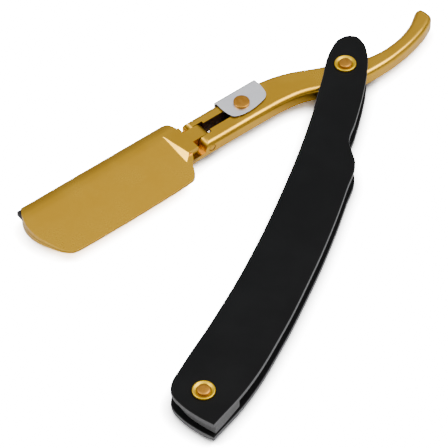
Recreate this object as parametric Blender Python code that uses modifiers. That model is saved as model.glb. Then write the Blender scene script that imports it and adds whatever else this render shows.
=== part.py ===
"""Folding barber's razor with a clamping blade holder.

The handle runs along -Y from the pivot, which is the origin, and lies flat on z = 0 on its rear rivet
heads. The blade holder is modelled in its own frame, under an empty that stands on the pivot axis:
+X runs along the tail, -X along the head, +Y towards the spine and z = 0 is the middle plane.
"""

import math

import bmesh
import bpy
from mathutils import Matrix, Vector

# Stack of the handle, from the middle plane outwards
REST_ANGLE = math.radians(57.34)
BAR_THICKNESS = 0.0047
GAP_AT_PIVOT = 0.0057
GAP_AT_END = 0.0044
SCALE_THICKNESS = 0.0015
RIVET_SPACING = 0.1253
RIVET_HEAD_HEIGHT = 0.0010
MIDDLE_HEIGHT = GAP_AT_PIVOT / 2 + SCALE_THICKNESS + RIVET_HEAD_HEIGHT
SPLAY = math.atan((GAP_AT_PIVOT - GAP_AT_END) / 2 / RIVET_SPACING)

# Rivets, collars and washers
RIVET_RADIUS = 0.00125
RIVET_HEAD_RADIUS = 0.0019
COLLAR_RADIUS = 0.0032
COLLAR_HEIGHT = 0.0007
COLLAR_DISH = 0.0003
COLLAR_LIFT = 0.00004
COLLAR_RIM = (
    (0.00200, 0.0003),
    (0.00205, 0.00042),
    (0.00265, 0.00064),
    (0.00288, 0.0007),
    (0.00307, 0.00064),
)
COLLAR_SHOULDER = 0.0002
HEAD_CLEARANCE = 0.00008
RIM_CHAMFER = 0.00012
FIXED_HOLE_RADIUS = 0.00135
PIVOT_HOLE_RADIUS = 0.00131
THRUST_WASHER_RADIUS = 0.0029
THRUST_WASHER_THICKNESS = 0.00035
THRUST_WASHER_PLAY = 0.00003
SCALE_EDGE_ROUND = 0.00022
SPACER_GAP = 0.00018
ROUND_STEPS = 32

# Fork, tongue and jaw hinge
HINGE_X = -0.0480
EAR_RADIUS = BAR_THICKNESS / 2
BAR_FRONT_X = HINGE_X - EAR_RADIUS
BAR_FRONT_ROUND = 0.0016
BAR_REAR_ROUND = 0.0006
PIN_RADIUS = 0.00095
PIN_HOLE_RADIUS = 0.00100
TONGUE_HOLE_RADIUS = 0.00104
SLOT_NEAR_Y = 0.00505
SLOT_FAR_Y = 0.00980
TONGUE_NEAR_Y = 0.00520
TONGUE_FAR_Y = 0.00965
SLOT_REAR_X = -0.0455
SLOT_FRONT_X = -0.0505
GUIDE_NEAR_Y = 0.0060
GUIDE_FAR_Y = 0.0090
GUIDE_REAR_X = -0.0285
SHOULDER_X = -0.0522
NECK_NEAR_Y = 0.0026
NECK_FAR_Y = 0.0120
BAR_NEAR_Y = 0.0015
BAR_FAR_Y = 0.0126
NECK_FRONT_X = -0.0585
NECK_FLARE_X = -0.0555
NECK_FLARE_WIDTH = 0.0024
LOWER_NECK_REAR_X = -0.0490
RAMP_CORNER = (-0.0559, 0.0030)
RAMP_ALONG = (0.0018, -0.0088, 0.0)
RAMP_DOWN = (-0.0020, 0.00107)
NECK_FLOOR_Z = -0.0005
NECK_UNDERSIDE_Z = -0.0003

# Head
JAW_FACE_Z = 0.00012
EDGE_HALF_THICKNESS = 0.00045
CREST_HALF_THICKNESS = 0.00233
CREST_Y = 0.0120
SPINE_Y = 0.0162
EDGE_Y = -0.0054
STRIP_INNER_Y = 0.0125
STRIP_HALF_THICKNESS = 0.0009
STRIP_END_X = -0.1064
STRIP_START_X = -0.0600
STRIP_RECESS_HALF = 0.0010
STUD_RADIUS = 0.0009
STUD_Y = 0.0035
STUD_PLACES = {"blade_stud_heel": -0.0700, "blade_stud_tip": -0.0960}
STUD_TOP_Z = 0.0005
STUD_ROOT_Z = -0.0009
STUD_PLAY = 0.00005
STUD_POCKET_PLAY = 0.0002
STRIP_PLAY = 0.0001
PIN_PROUD = 0.00004
TONGUE_PLAY = 0.00005
HEAD_BLANK_THICKNESS = 0.008
HEAD_SPAN_X = (-0.112, -0.050)
SPINE_STEPS = 6
CUT_REACH = 0.006
ACROSS_LOW_Y = -0.001
ACROSS_HIGH_Y = 0.015

# Slider
CLIP_THICKNESS = 0.00045
CLIP_CLEARANCE = 0.0001
CLIP_REAR_X = -0.0238
CLIP_FRONT_X = -0.0383
CLIP_NEAR_Y = 0.00482
SLIDER_RIVET_X = -0.0323
SLIDER_RIVET_Y = 0.0079
SLIDER_RIVET_RADIUS = 0.0009
SLIDER_HEAD_RADIUS = 0.0024
SLIDER_HEAD_HEIGHT = 0.00075
SLIDER_PLAY = 0.00006
SLIDER_WASHER_RADIUS = 0.0020
SLIDER_WASHER_THICKNESS = 0.0003
SLIDER_TAIL_HEAD = 0.0004
SLIDER_TAIL_RATIO = 1.7
CLIP_BEND = 0.0009
CLIP_BEND_STEPS = 4

COLLECTION_NAME = "straight_razor"
CUTTER_NAME = "cutters"
WELD_DISTANCE = 0.000002
CURVE_STEPS = 4
ROUND_FACETS = 3
ROUND_SHARE = 0.8
ROUND_SLOPE = 0.5


def clear_scene():
    """Remove every object that the scene starts with."""
    for obj in list(bpy.data.objects):
        bpy.data.objects.remove(obj, do_unlink=True)


def make_collection(name):
    """Return a new collection that is linked to the scene."""
    collection = bpy.data.collections.new(name)
    bpy.context.scene.collection.children.link(collection)
    return collection


def make_material(name, color, roughness, metallic):
    """Return a Principled material."""
    mat = bpy.data.materials.new(name)
    mat.use_nodes = True
    shader = mat.node_tree.nodes["Principled BSDF"]
    shader.inputs["Base Color"].default_value = (*color, 1.0)
    shader.inputs["Roughness"].default_value = roughness
    shader.inputs["Metallic"].default_value = metallic
    return mat


def gold_material(name):
    """Satin gold-coloured metal of the blade holder."""
    return make_material(name, (0.52, 0.29, 0.06), 0.32, 1.0)


def bright_gold_material(name):
    """Brighter yellow metal of the collars."""
    return make_material(name, (0.85, 0.56, 0.14), 0.25, 1.0)


def rivet_material(name):
    """Rosy metal of the rivets."""
    return make_material(name, (0.60, 0.33, 0.10), 0.35, 1.0)


def black_material(name):
    """Matte black of the handle."""
    return make_material(name, (0.016, 0.016, 0.016), 0.55, 0.0)


def steel_material(name):
    """Bare silvery sheet and pins."""
    return make_material(name, (0.62, 0.63, 0.66), 0.38, 1.0)


def add_object(name, mesh, mat=None, collection=None):
    """Put a mesh in the scene as an object with one material."""
    obj = bpy.data.objects.new(name, mesh)
    target = bpy.data.collections[collection or COLLECTION_NAME]
    target.objects.link(obj)
    if mat is not None:
        mesh.materials.clear()
        mesh.materials.append(mat)
    return obj


def hide_cutter(obj):
    """Mark an object as one that only shapes another."""
    obj.hide_render = True
    obj.display_type = "WIRE"


def add_outline(data, points):
    """Add a closed outline to a curve: a point is (x, y) on a smooth stretch, or (x, y, "corner")."""
    data.resolution_u = CURVE_STEPS
    spline = data.splines.new("BEZIER")
    spline.bezier_points.add(len(points) - 1)
    for knot, point in zip(spline.bezier_points, points):
        knot.co = (point[0], point[1], 0.0)
        kind = "VECTOR" if len(point) == 3 else "AUTO"
        knot.handle_left_type = kind
        knot.handle_right_type = kind
    spline.use_cyclic_u = True


def curve_mesh(name, points, thickness):
    """Return the mesh of a flat outline, as thick as asked, about z = 0."""
    data = bpy.data.curves.new(name, "CURVE")
    data.dimensions = "2D"
    data.fill_mode = "BOTH"
    data.extrude = thickness / 2
    add_outline(data, points)
    obj = bpy.data.objects.new(name, data)
    bpy.context.scene.collection.objects.link(obj)
    bpy.context.view_layer.update()
    evaluated = obj.evaluated_get(bpy.context.evaluated_depsgraph_get())
    mesh = bpy.data.meshes.new_from_object(evaluated)
    bpy.data.objects.remove(obj, do_unlink=True)
    bm = bmesh.new()
    bm.from_mesh(mesh)
    bmesh.ops.remove_doubles(bm, verts=bm.verts, dist=WELD_DISTANCE)
    bmesh.ops.recalc_face_normals(bm, faces=bm.faces)
    bm.to_mesh(mesh)
    bm.free()
    return mesh


def outline_points(name, points):
    """Return an outline as an anticlockwise list of 2D vectors."""
    data = bpy.data.curves.new(name, "CURVE")
    data.dimensions = "2D"
    data.fill_mode = "NONE"
    add_outline(data, points)
    obj = bpy.data.objects.new(name, data)
    bpy.context.scene.collection.objects.link(obj)
    bpy.context.view_layer.update()
    evaluated = obj.evaluated_get(bpy.context.evaluated_depsgraph_get())
    mesh = bpy.data.meshes.new_from_object(evaluated)
    bpy.data.objects.remove(obj, do_unlink=True)
    ring = [vertex.co.to_2d() for vertex in mesh.vertices]
    area = sum(a.cross(b) for a, b in zip(ring, ring[1:] + ring[:1]))
    return ring if area > 0 else ring[::-1]


def mitres(ring):
    """Return, for each corner of an outline, the inward step that moves both its sides by one."""
    steps = []
    for before, here, after in zip(ring[-1:] + ring[:-1], ring, ring[1:] + ring[:1]):
        first = (here - before).normalized().orthogonal()
        second = (after - here).normalized().orthogonal()
        steps.append((first + second) / (1.0 + first.dot(second)))
    return steps


def round_limits(ring, steps, radius):
    """Return, for each corner of an outline, how far its edge can be rounded, up to a radius."""
    count = len(ring)
    limits = [radius] * count
    for i in range(count):
        j = (i + 1) % count
        side = ring[j] - ring[i]
        shrink = (steps[i] - steps[j]).dot(side.normalized())
        if shrink > 0.0:
            reach = ROUND_SHARE * side.length / shrink
            limits[i] = min(limits[i], reach)
            limits[j] = min(limits[j], reach)
    for _ in range(2):
        for i in list(range(count)) + list(range(count - 1, -1, -1)):
            for j in ((i + 1) % count, i - 1):
                slack = limits[j] + ROUND_SLOPE * (ring[i] - ring[j]).length
                limits[i] = min(limits[i], slack)
    return limits


def rounded_plate(name, points, thickness, front, rear, mat):
    """Return a plate about z = 0 whose front and rear edges are rounded to two radii."""
    ring = outline_points(name, points)
    steps = mitres(ring)
    half = thickness / 2
    bm = bmesh.new()
    loops = []
    rear_order = range(ROUND_FACETS, -1, -1)
    front_order = range(ROUND_FACETS + 1)
    for radius, side, order in ((rear, -1, rear_order), (front, 1, front_order)):
        limits = round_limits(ring, steps, radius)
        for facet in order:
            turn = math.pi / 2 * facet / ROUND_FACETS
            loop = []
            for corner, step, limit in zip(ring, steps, limits):
                place = corner + step * limit * (1.0 - math.cos(turn))
                height = half - limit * (1.0 - math.sin(turn))
                loop.append(bm.verts.new((place.x, place.y, side * height)))
            loops.append(loop)
    for low, high in zip(loops, loops[1:]):
        for a, b, c, d in zip(low, low[1:] + low[:1], high[1:] + high[:1], high):
            bm.faces.new((a, b, c, d))
    bm.faces.new(loops[0][::-1])
    bm.faces.new(loops[-1])
    bmesh.ops.recalc_face_normals(bm, faces=bm.faces)
    mesh = bpy.data.meshes.new(name)
    bm.to_mesh(mesh)
    bm.free()
    return add_object(name, mesh, mat)


def outline_solid(name, points, thickness, mat=None, collection=None):
    """Return a plate of the given outline."""
    return add_object(name, curve_mesh(name, points, thickness), mat, collection)


def box(name, low, high, mat=None, collection=None):
    """Return a box between two corners."""
    bm = bmesh.new()
    size = Vector(high) - Vector(low)
    centre = (Vector(high) + Vector(low)) / 2
    matrix = Matrix.Translation(centre) @ Matrix.Diagonal((*size, 1.0))
    bmesh.ops.create_cube(bm, size=1.0, matrix=matrix)
    mesh = bpy.data.meshes.new(name)
    bm.to_mesh(mesh)
    bm.free()
    return add_object(name, mesh, mat, collection)


def cylinder(name, radius, start, end, mat=None, collection=None):
    """Return a cylinder between two points on its axis."""
    bm = bmesh.new()
    axis = Vector(end) - Vector(start)
    turn = axis.to_track_quat("Z", "Y").to_matrix().to_4x4()
    matrix = Matrix.Translation((Vector(start) + Vector(end)) / 2) @ turn
    bmesh.ops.create_cone(
        bm,
        cap_ends=True,
        segments=ROUND_STEPS,
        radius1=radius,
        radius2=radius,
        depth=axis.length,
        matrix=matrix,
    )
    mesh = bpy.data.meshes.new(name)
    bm.to_mesh(mesh)
    bm.free()
    return add_object(name, mesh, mat, collection)


def upright_cutter(name, radius, x, y, low=-CUT_REACH, high=CUT_REACH):
    """Cylinder along Z that cuts a hole."""
    return cylinder(name, radius, (x, y, low), (x, y, high), None, CUTTER_NAME)


def crosswise_cutter(name, radius):
    """Cylinder along the jaw hinge's axis that cuts a hole."""
    low = (HINGE_X, ACROSS_LOW_Y, 0.0)
    high = (HINGE_X, ACROSS_HIGH_Y, 0.0)
    return cylinder(name, radius, low, high, None, CUTTER_NAME)


def slot_cutter(name, span_x, span_y):
    """Box that cuts a slot right through the bar."""
    low = (span_x[0], span_y[0], -CUT_REACH)
    high = (span_x[1], span_y[1], CUT_REACH)
    return box(name, low, high, None, CUTTER_NAME)


def turned(name, profile, mat, ring=False):
    """Turn a profile of (radius, height) points, listed down its outer side, about Z."""
    mesh = bpy.data.meshes.new(name)
    edges = [(i, i + 1) for i in range(len(profile) - 1)]
    if ring:
        edges.append((len(profile) - 1, 0))
    mesh.from_pydata([(r, 0.0, z) for r, z in profile], edges, [])
    obj = add_object(name, mesh, mat)
    screw = obj.modifiers.new("turn", "SCREW")
    screw.axis = "Z"
    screw.steps = ROUND_STEPS
    screw.render_steps = ROUND_STEPS
    screw.use_merge_vertices = True
    screw.merge_threshold = WELD_DISTANCE
    screw.use_smooth_shade = True
    return obj


def add_boolean(obj, other, operation):
    """Cut, join or intersect an object with another, which then becomes a hidden cutter."""
    modifier = obj.modifiers.new(operation.lower(), "BOOLEAN")
    modifier.operation = operation
    modifier.object = other
    modifier.solver = "EXACT"
    hide_cutter(other)
    return modifier


def add_bevel(obj, width, segments, angle=50.0):
    """Round the edges that are sharper than an angle."""
    modifier = obj.modifiers.new("round", "BEVEL")
    modifier.width = width
    modifier.segments = segments
    modifier.limit_method = "ANGLE"
    modifier.angle_limit = math.radians(angle)
    modifier.use_clamp_overlap = True
    return modifier


def shade(obj, angle=35.0):
    """Shade an object's round stretches smooth."""
    obj.data.shade_smooth()
    obj.data.set_sharp_from_angle(angle=math.radians(angle))


# --- Handle ---------------------------------------------------------------------------------------


SCALE_OUTLINE = (
    (-0.0010, 0.0119),
    (0.0023, 0.0102),
    (0.0045, 0.0070),
    (0.0068, -0.0003),
    (0.0085, -0.0103),
    (0.0095, -0.0203),
    (0.0101, -0.0283),
    (0.0121, -0.0317),
    (0.0141, -0.0353),
    (0.0148, -0.0453),
    (0.0153, -0.0620),
    (0.0149, -0.0803),
    (0.0136, -0.1003),
    (0.0109, -0.1195),
    (0.0062, -0.1350, "corner"),
    (0.0010, -0.1337),
    (-0.0045, -0.1314),
    (-0.0078, -0.1289),
    (-0.0090, -0.1258),
    (-0.0085, -0.1203),
    (-0.0055, -0.1005),
    (-0.0033, -0.0803),
    (-0.0023, -0.0550),
    (-0.0029, -0.0263),
    (-0.0046, -0.0083),
    (-0.0058, 0.0047),
    (-0.0045, 0.0098),
)

SPACER_OUTLINE = (
    (0.0093, -0.1230, "corner"),
    (0.0076, -0.1292),
    (0.0062, -0.1336, "corner"),
    (0.0015, -0.1322),
    (-0.0030, -0.1303),
    (-0.0058, -0.1283, "corner"),
    (-0.0058, -0.1235, "corner"),
    (0.0030, -0.1195, "corner"),
    (0.0076, -0.1224),
)


def splayed(obj, side, depth, y=0.0):
    """Stand an object on a scale's plane: depth is measured out from the scale's inner face."""
    obj.rotation_euler = (SPLAY if side > 0 else math.pi - SPLAY, 0.0, 0.0)
    half_gap = GAP_AT_PIVOT / 2 + y * math.tan(SPLAY)
    obj.location = (0.0, y, MIDDLE_HEIGHT + side * (half_gap + depth))
    return obj


def make_scale(name, side):
    """One black plate of the handle, with its two rivet holes."""
    points = SCALE_OUTLINE
    if side < 0:
        points = [(p[0], -p[1], *p[2:]) for p in reversed(SCALE_OUTLINE)]
    obj = outline_solid(name, points, SCALE_THICKNESS, black_material(name))
    add_bevel(obj, SCALE_EDGE_ROUND, 2, 60.0)
    for number, y in enumerate((0.0, -RIVET_SPACING * side)):
        cutter = upright_cutter(f"{name}_hole_{number}", FIXED_HOLE_RADIUS, 0.0, y)
        cutter.parent = obj
        add_boolean(obj, cutter, "DIFFERENCE")
    return splayed(obj, side, SCALE_THICKNESS / 2)


def make_spacer():
    """Block between the scales at the end of the handle."""
    thickness = GAP_AT_END - 2 * SPACER_GAP
    obj = outline_solid("end_spacer", SPACER_OUTLINE, thickness, black_material("end_spacer"))
    obj.location = (0.0, 0.0, MIDDLE_HEIGHT)
    cutter = upright_cutter("end_spacer_hole", FIXED_HOLE_RADIUS, 0.0, -RIVET_SPACING)
    cutter.parent = obj
    add_boolean(obj, cutter, "DIFFERENCE")
    return obj


def make_rivet(name, y):
    """Pin with a flat head at each end."""
    half_gap = GAP_AT_PIVOT / 2 + y * math.tan(SPLAY)
    top = half_gap + SCALE_THICKNESS + RIVET_HEAD_HEIGHT
    under = half_gap + SCALE_THICKNESS + COLLAR_DISH + HEAD_CLEARANCE
    half = (
        (RIVET_HEAD_RADIUS - RIM_CHAMFER, top),
        (RIVET_HEAD_RADIUS, top - RIM_CHAMFER),
        (RIVET_HEAD_RADIUS, under),
        (RIVET_RADIUS, under),
    )
    profile = [(0.0, top), *half, *[(r, -z) for r, z in reversed(half)], (0.0, -top)]
    obj = turned(name, profile, rivet_material(name))
    obj.location = (0.0, y, MIDDLE_HEIGHT)
    return obj


def make_collar(name, side, y):
    """Cup washer under a rivet head, with a raised rim."""
    profile = (
        *COLLAR_RIM,
        (COLLAR_RADIUS, COLLAR_HEIGHT - COLLAR_SHOULDER),
        (COLLAR_RADIUS, COLLAR_LIFT),
        (FIXED_HOLE_RADIUS, COLLAR_LIFT),
        (FIXED_HOLE_RADIUS, COLLAR_DISH),
    )
    obj = turned(name, profile, bright_gold_material(name), ring=True)
    return splayed(obj, side, SCALE_THICKNESS, y)


def make_thrust_washer(name, side):
    """Thin washer between the shank and a scale."""
    inner = PIVOT_HOLE_RADIUS + THRUST_WASHER_PLAY
    profile = (
        (THRUST_WASHER_RADIUS, THRUST_WASHER_THICKNESS / 2),
        (THRUST_WASHER_RADIUS, -THRUST_WASHER_THICKNESS / 2),
        (inner, -THRUST_WASHER_THICKNESS / 2),
        (inner, THRUST_WASHER_THICKNESS / 2),
    )
    obj = turned(name, profile, steel_material(name), ring=True)
    middle = (BAR_THICKNESS / 2 + GAP_AT_PIVOT / 2) / 2
    obj.location = (0.0, 0.0, MIDDLE_HEIGHT + side * middle)
    return obj


# --- Blade holder ---------------------------------------------------------------------------------


BAR_OUTLINE = (
    (BAR_FRONT_X, BAR_NEAR_Y, "corner"),
    (-0.0400, BAR_NEAR_Y, "corner"),
    (-0.0290, 0.00145),
    (-0.0210, 0.0011),
    (-0.0150, 0.0001),
    (-0.0080, -0.0027),
    (0.0000, -0.0050),
    (0.0080, -0.0057),
    (0.0170, -0.0052),
    (0.0270, -0.0030),
    (0.0310, -0.0014),
    (0.0333, 0.0000),
    (0.0342, 0.0011),
    (0.0343, 0.0026),
    (0.0341, 0.0043),
    (0.0335, 0.0053),
    (0.0325, 0.0056),
    (0.0314, 0.0053),
    (0.0296, 0.0041),
    (0.0253, 0.0017),
    (0.0175, -0.0002),
    (0.0110, -0.0002),
    (0.0050, 0.0012),
    (-0.0048, 0.0057),
    (-0.0148, 0.0103),
    (-0.0220, 0.0120),
    (-0.0300, 0.01245),
    (-0.0400, BAR_FAR_Y, "corner"),
    (BAR_FRONT_X, BAR_FAR_Y, "corner"),
)

HEAD_OUTLINE = (
    (-0.0550, 0.0015),
    (-0.0566, -0.0004),
    (-0.0590, -0.0044),
    (-0.0604, -0.0050),
    (-0.1010, EDGE_Y),
    (-0.1026, -0.0048),
    (-0.1062, 0.0010),
    (-0.1078, 0.0075),
    (-0.1070, 0.0124),
    (-0.1049, SPINE_Y, "corner"),
    (-0.0560, SPINE_Y),
    (-0.0540, 0.0153),
    (-0.0530, 0.0130),
    (-0.0525, 0.0110),
)


def crest_height(y):
    """Height of a jaw's outer face above the middle plane, from the edge to the crest."""
    share = (y - EDGE_Y) / (CREST_Y - EDGE_Y)
    return EDGE_HALF_THICKNESS + share * (CREST_HALF_THICKNESS - EDGE_HALF_THICKNESS)


def jaw_section(side):
    """Outline of a jaw across the head as (y, z), with the recess for the strip."""
    near = EDGE_Y - 0.001
    rear = SPINE_Y + 0.0005
    flat_end = CREST_Y - 0.0008
    outer = [(near, crest_height(near)), (flat_end, crest_height(flat_end))]
    width = SPINE_Y - CREST_Y
    drop = CREST_HALF_THICKNESS - STRIP_RECESS_HALF - 0.0001
    for step in range(SPINE_STEPS):
        turn = math.radians(15.0 * step + 5.0)
        y = CREST_Y + width * math.sin(turn)
        z = CREST_HALF_THICKNESS - drop * (1.0 - math.cos(turn))
        outer.append((y, z))
    outer.append((rear, STRIP_RECESS_HALF))
    inner = [
        (STRIP_INNER_Y, STRIP_RECESS_HALF),
        (STRIP_INNER_Y, JAW_FACE_Z),
        (near, JAW_FACE_Z),
    ]
    return [(y, side * z) for y, z in outer + inner]


def lengthwise_prism(name, section, x_low, x_high, collection=CUTTER_NAME):
    """Prism with a (y, z) section that runs along X."""
    points = [(y, z, "corner") for y, z in section]
    mesh = curve_mesh(name, points, x_high - x_low)
    middle = (x_low + x_high) / 2
    mesh.transform(Matrix(((0, 0, 1, middle), (1, 0, 0, 0), (0, 1, 0, 0), (0, 0, 0, 1))))
    return add_object(name, mesh, None, collection)


def crosswise_prism(name, section, y_low, y_high, collection=CUTTER_NAME):
    """Prism with an (x, z) section that runs along Y."""
    points = [(x, -z, "corner") for x, z in section]
    mesh = curve_mesh(name, points, y_high - y_low)
    middle = (y_low + y_high) / 2
    mesh.transform(Matrix(((1, 0, 0, 0), (0, 0, 1, middle), (0, -1, 0, 0), (0, 0, 0, 1))))
    return add_object(name, mesh, None, collection)


def make_head(name, side, mat, collection):
    """Half of the head: the plan outline with a wedge section."""
    head = outline_solid(name, HEAD_OUTLINE, HEAD_BLANK_THICKNESS, mat, collection)
    section = lengthwise_prism(f"{name}_section", jaw_section(side), *HEAD_SPAN_X)
    section.parent = head
    add_boolean(head, section, "INTERSECT")
    return head


def neck_plate(name, side, low, high, near, far):
    """Flat neck from the hinge into the head, wider on its near side where it meets the head."""
    rear = SHOULDER_X if side > 0 else LOWER_NECK_REAR_X
    points = (
        (rear, near, "corner"),
        (rear, far, "corner"),
        (NECK_FRONT_X, far, "corner"),
        (NECK_FRONT_X, near - NECK_FLARE_WIDTH, "corner"),
        (NECK_FLARE_X, near, "corner"),
    )
    mesh = curve_mesh(name, points, high - low)
    mesh.transform(Matrix.Translation((0.0, 0.0, (low + high) / 2)))
    return mesh


def make_neck(name, side, low, high, near, far):
    """Neck with the ramp down to the head's sloping face and round edges on the bar's rear side."""
    mesh = neck_plate(name, side, low, high, near, far)
    bm = bmesh.new()
    bm.from_mesh(mesh)
    top = side * BAR_THICKNESS / 2
    along = Vector(RAMP_ALONG)
    down = Vector((RAMP_DOWN[0], 0.0, -side * RAMP_DOWN[1]))
    normal = along.cross(down)
    if normal.z * side < 0:
        normal.negate()
    bmesh.ops.bisect_plane(
        bm,
        geom=bm.verts[:] + bm.edges[:] + bm.faces[:],
        plane_co=(RAMP_CORNER[0], RAMP_CORNER[1], top),
        plane_no=normal,
        clear_outer=True,
    )
    rim = [e for e in bm.edges if e.is_boundary]
    bmesh.ops.contextual_create(bm, geom=rim)
    if side < 0:
        edges = [e for e in bm.edges if is_lower_rim(e, low)]
        bmesh.ops.bevel(
            bm,
            geom=edges,
            offset=BAR_REAR_ROUND,
            offset_type="OFFSET",
            affect="EDGES",
            segments=ROUND_FACETS,
            profile=0.5,
            material=-1,
        )
    bmesh.ops.recalc_face_normals(bm, faces=bm.faces)
    bm.to_mesh(mesh)
    bm.free()
    return add_object(name, mesh, None, CUTTER_NAME)


def is_lower_rim(edge, height):
    """Tell whether an edge runs along X, at a height, on the outside of the neck."""
    start, end = (vert.co for vert in edge.verts)
    level = abs(start.z - height) < WELD_DISTANCE and abs(end.z - height) < WELD_DISTANCE
    along = abs(start.y - end.y) < WELD_DISTANCE
    return level and along and edge.calc_face_angle(0.0) > 1.0


def ear_rounding():
    """Block with a round hollow that leaves the ears' fronts round about the hinge pin."""
    top = BAR_THICKNESS / 2 + 0.0004
    front = HINGE_X - EAR_RADIUS - 0.0004
    section = [(HINGE_X, top)]
    for step in range(0, 9):
        turn = math.radians(90.0 + 11.25 * step)
        section.append((HINGE_X + EAR_RADIUS * math.cos(turn), EAR_RADIUS * math.sin(turn)))
    section.append((front, 0.0))
    section.append((front, top))
    return crosswise_prism("ear_rounding", section, ACROSS_LOW_Y, ACROSS_HIGH_Y)


def make_shank(frame):
    """Tail, slotted bar, fork ears and lower jaw in one piece."""
    gold = gold_material("shank")
    obj = rounded_plate("shank", BAR_OUTLINE, BAR_THICKNESS, BAR_FRONT_ROUND, BAR_REAR_ROUND, gold)
    obj.parent = frame
    jaw = make_head("lower_jaw_head", -1, None, CUTTER_NAME)
    low = -BAR_THICKNESS / 2
    neck = make_neck("lower_jaw_neck", -1, low, NECK_FLOOR_Z, BAR_NEAR_Y, NECK_FAR_Y)
    for part in (neck, jaw):
        part.parent = frame
        add_boolean(obj, part, "UNION")
    cutters = [
        ear_rounding(),
        slot_cutter("wide_slot", (SLOT_FRONT_X, SLOT_REAR_X), (SLOT_NEAR_Y, SLOT_FAR_Y)),
        slot_cutter("guide_slot", (SLOT_REAR_X - 0.0005, GUIDE_REAR_X), (GUIDE_NEAR_Y, GUIDE_FAR_Y)),
        crosswise_cutter("pin_hole", PIN_HOLE_RADIUS),
        upright_cutter("pivot_hole", PIVOT_HOLE_RADIUS, 0.0, 0.0),
    ]
    for name, x in STUD_PLACES.items():
        low = STUD_ROOT_Z - STUD_PLAY
        radius = STUD_RADIUS + STUD_PLAY
        cutters.append(upright_cutter(f"{name}_seat", radius, x, STUD_Y, low))
    for cutter in cutters:
        cutter.parent = frame
        add_boolean(obj, cutter, "DIFFERENCE")
    return obj


def make_upper_jaw(frame):
    """Upper jaw with its neck and the tongue that turns on the hinge pin."""
    obj = make_head("upper_jaw", 1, gold_material("upper_jaw"), COLLECTION_NAME)
    obj.parent = frame
    neck = make_neck("upper_jaw_neck", 1, JAW_FACE_Z, BAR_THICKNESS / 2, NECK_NEAR_Y, NECK_FAR_Y)
    radius = EAR_RADIUS - TONGUE_PLAY
    root_x = SHOULDER_X - 0.0003
    section = [(root_x, BAR_THICKNESS / 2)]
    for step in range(0, 17):
        turn = math.radians(90.0 - 11.25 * step)
        section.append((HINGE_X + radius * math.cos(turn), radius * math.sin(turn)))
    section.append((HINGE_X - radius * 0.9, NECK_UNDERSIDE_Z))
    section.append((root_x, NECK_UNDERSIDE_Z))
    tongue = crosswise_prism("tongue", section, TONGUE_NEAR_Y, TONGUE_FAR_Y)
    for part in (neck, tongue):
        part.parent = frame
        add_boolean(obj, part, "UNION")
    cutters = [crosswise_cutter("tongue_hole", TONGUE_HOLE_RADIUS)]
    for name, x in STUD_PLACES.items():
        high = STUD_TOP_Z + STUD_POCKET_PLAY
        radius = STUD_RADIUS + STUD_POCKET_PLAY
        cutters.append(upright_cutter(f"{name}_pocket", radius, x, STUD_Y, -CUT_REACH, high))
    for cutter in cutters:
        cutter.parent = frame
        add_boolean(obj, cutter, "DIFFERENCE")
    return obj


def make_hinge_pin(frame):
    """Pin across the fork."""
    low = (HINGE_X, BAR_NEAR_Y - PIN_PROUD, 0.0)
    high = (HINGE_X, BAR_FAR_Y + PIN_PROUD, 0.0)
    obj = cylinder("jaw_hinge_pin", PIN_RADIUS, low, high, gold_material("jaw_hinge_pin"))
    obj.parent = frame
    return obj


def make_stud(frame, name, x):
    """Stud that a hole in the blade sits on."""
    low = (x, STUD_Y, STUD_ROOT_Z)
    high = (x, STUD_Y, STUD_TOP_Z)
    obj = cylinder(name, STUD_RADIUS, low, high, steel_material(name))
    obj.parent = frame
    return obj


def make_strip(frame):
    """Black strip in the spine that the blade's back rests on."""
    low = (STRIP_END_X, STRIP_INNER_Y + STRIP_PLAY, -STRIP_HALF_THICKNESS)
    high = (STRIP_START_X, SPINE_Y, STRIP_HALF_THICKNESS)
    obj = box("backing_strip", low, high, black_material("backing_strip"))
    obj.parent = frame
    return obj


# --- Slider ---------------------------------------------------------------------------------------


def clip_top():
    """Height of the clip's outer face above the middle plane."""
    return BAR_THICKNESS / 2 + CLIP_CLEARANCE + CLIP_THICKNESS


def clip_section():
    """Outline of the folded sheet as (y, z)."""
    outer_z = clip_top()
    inner_z = outer_z - CLIP_THICKNESS
    inner_y = BAR_FAR_Y + 2 * CLIP_CLEARANCE
    outer_y = inner_y + CLIP_THICKNESS
    fold = CLIP_BEND - CLIP_THICKNESS
    outer = [(CLIP_NEAR_Y - 0.001, outer_z)]
    inner = [(CLIP_NEAR_Y - 0.001, inner_z)]
    for step in range(CLIP_BEND_STEPS + 1):
        turn = math.pi / 2 * (1.0 - step / CLIP_BEND_STEPS)
        y, z = math.cos(turn), math.sin(turn)
        outer.append((outer_y - CLIP_BEND + CLIP_BEND * y, outer_z - CLIP_BEND + CLIP_BEND * z))
        inner.append((inner_y - fold + fold * y, inner_z - fold + fold * z))
    lower_outer = [(y, -z) for y, z in reversed(outer)]
    lower_inner = [(y, -z) for y, z in inner]
    return outer + lower_outer + lower_inner + list(reversed(inner))


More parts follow.
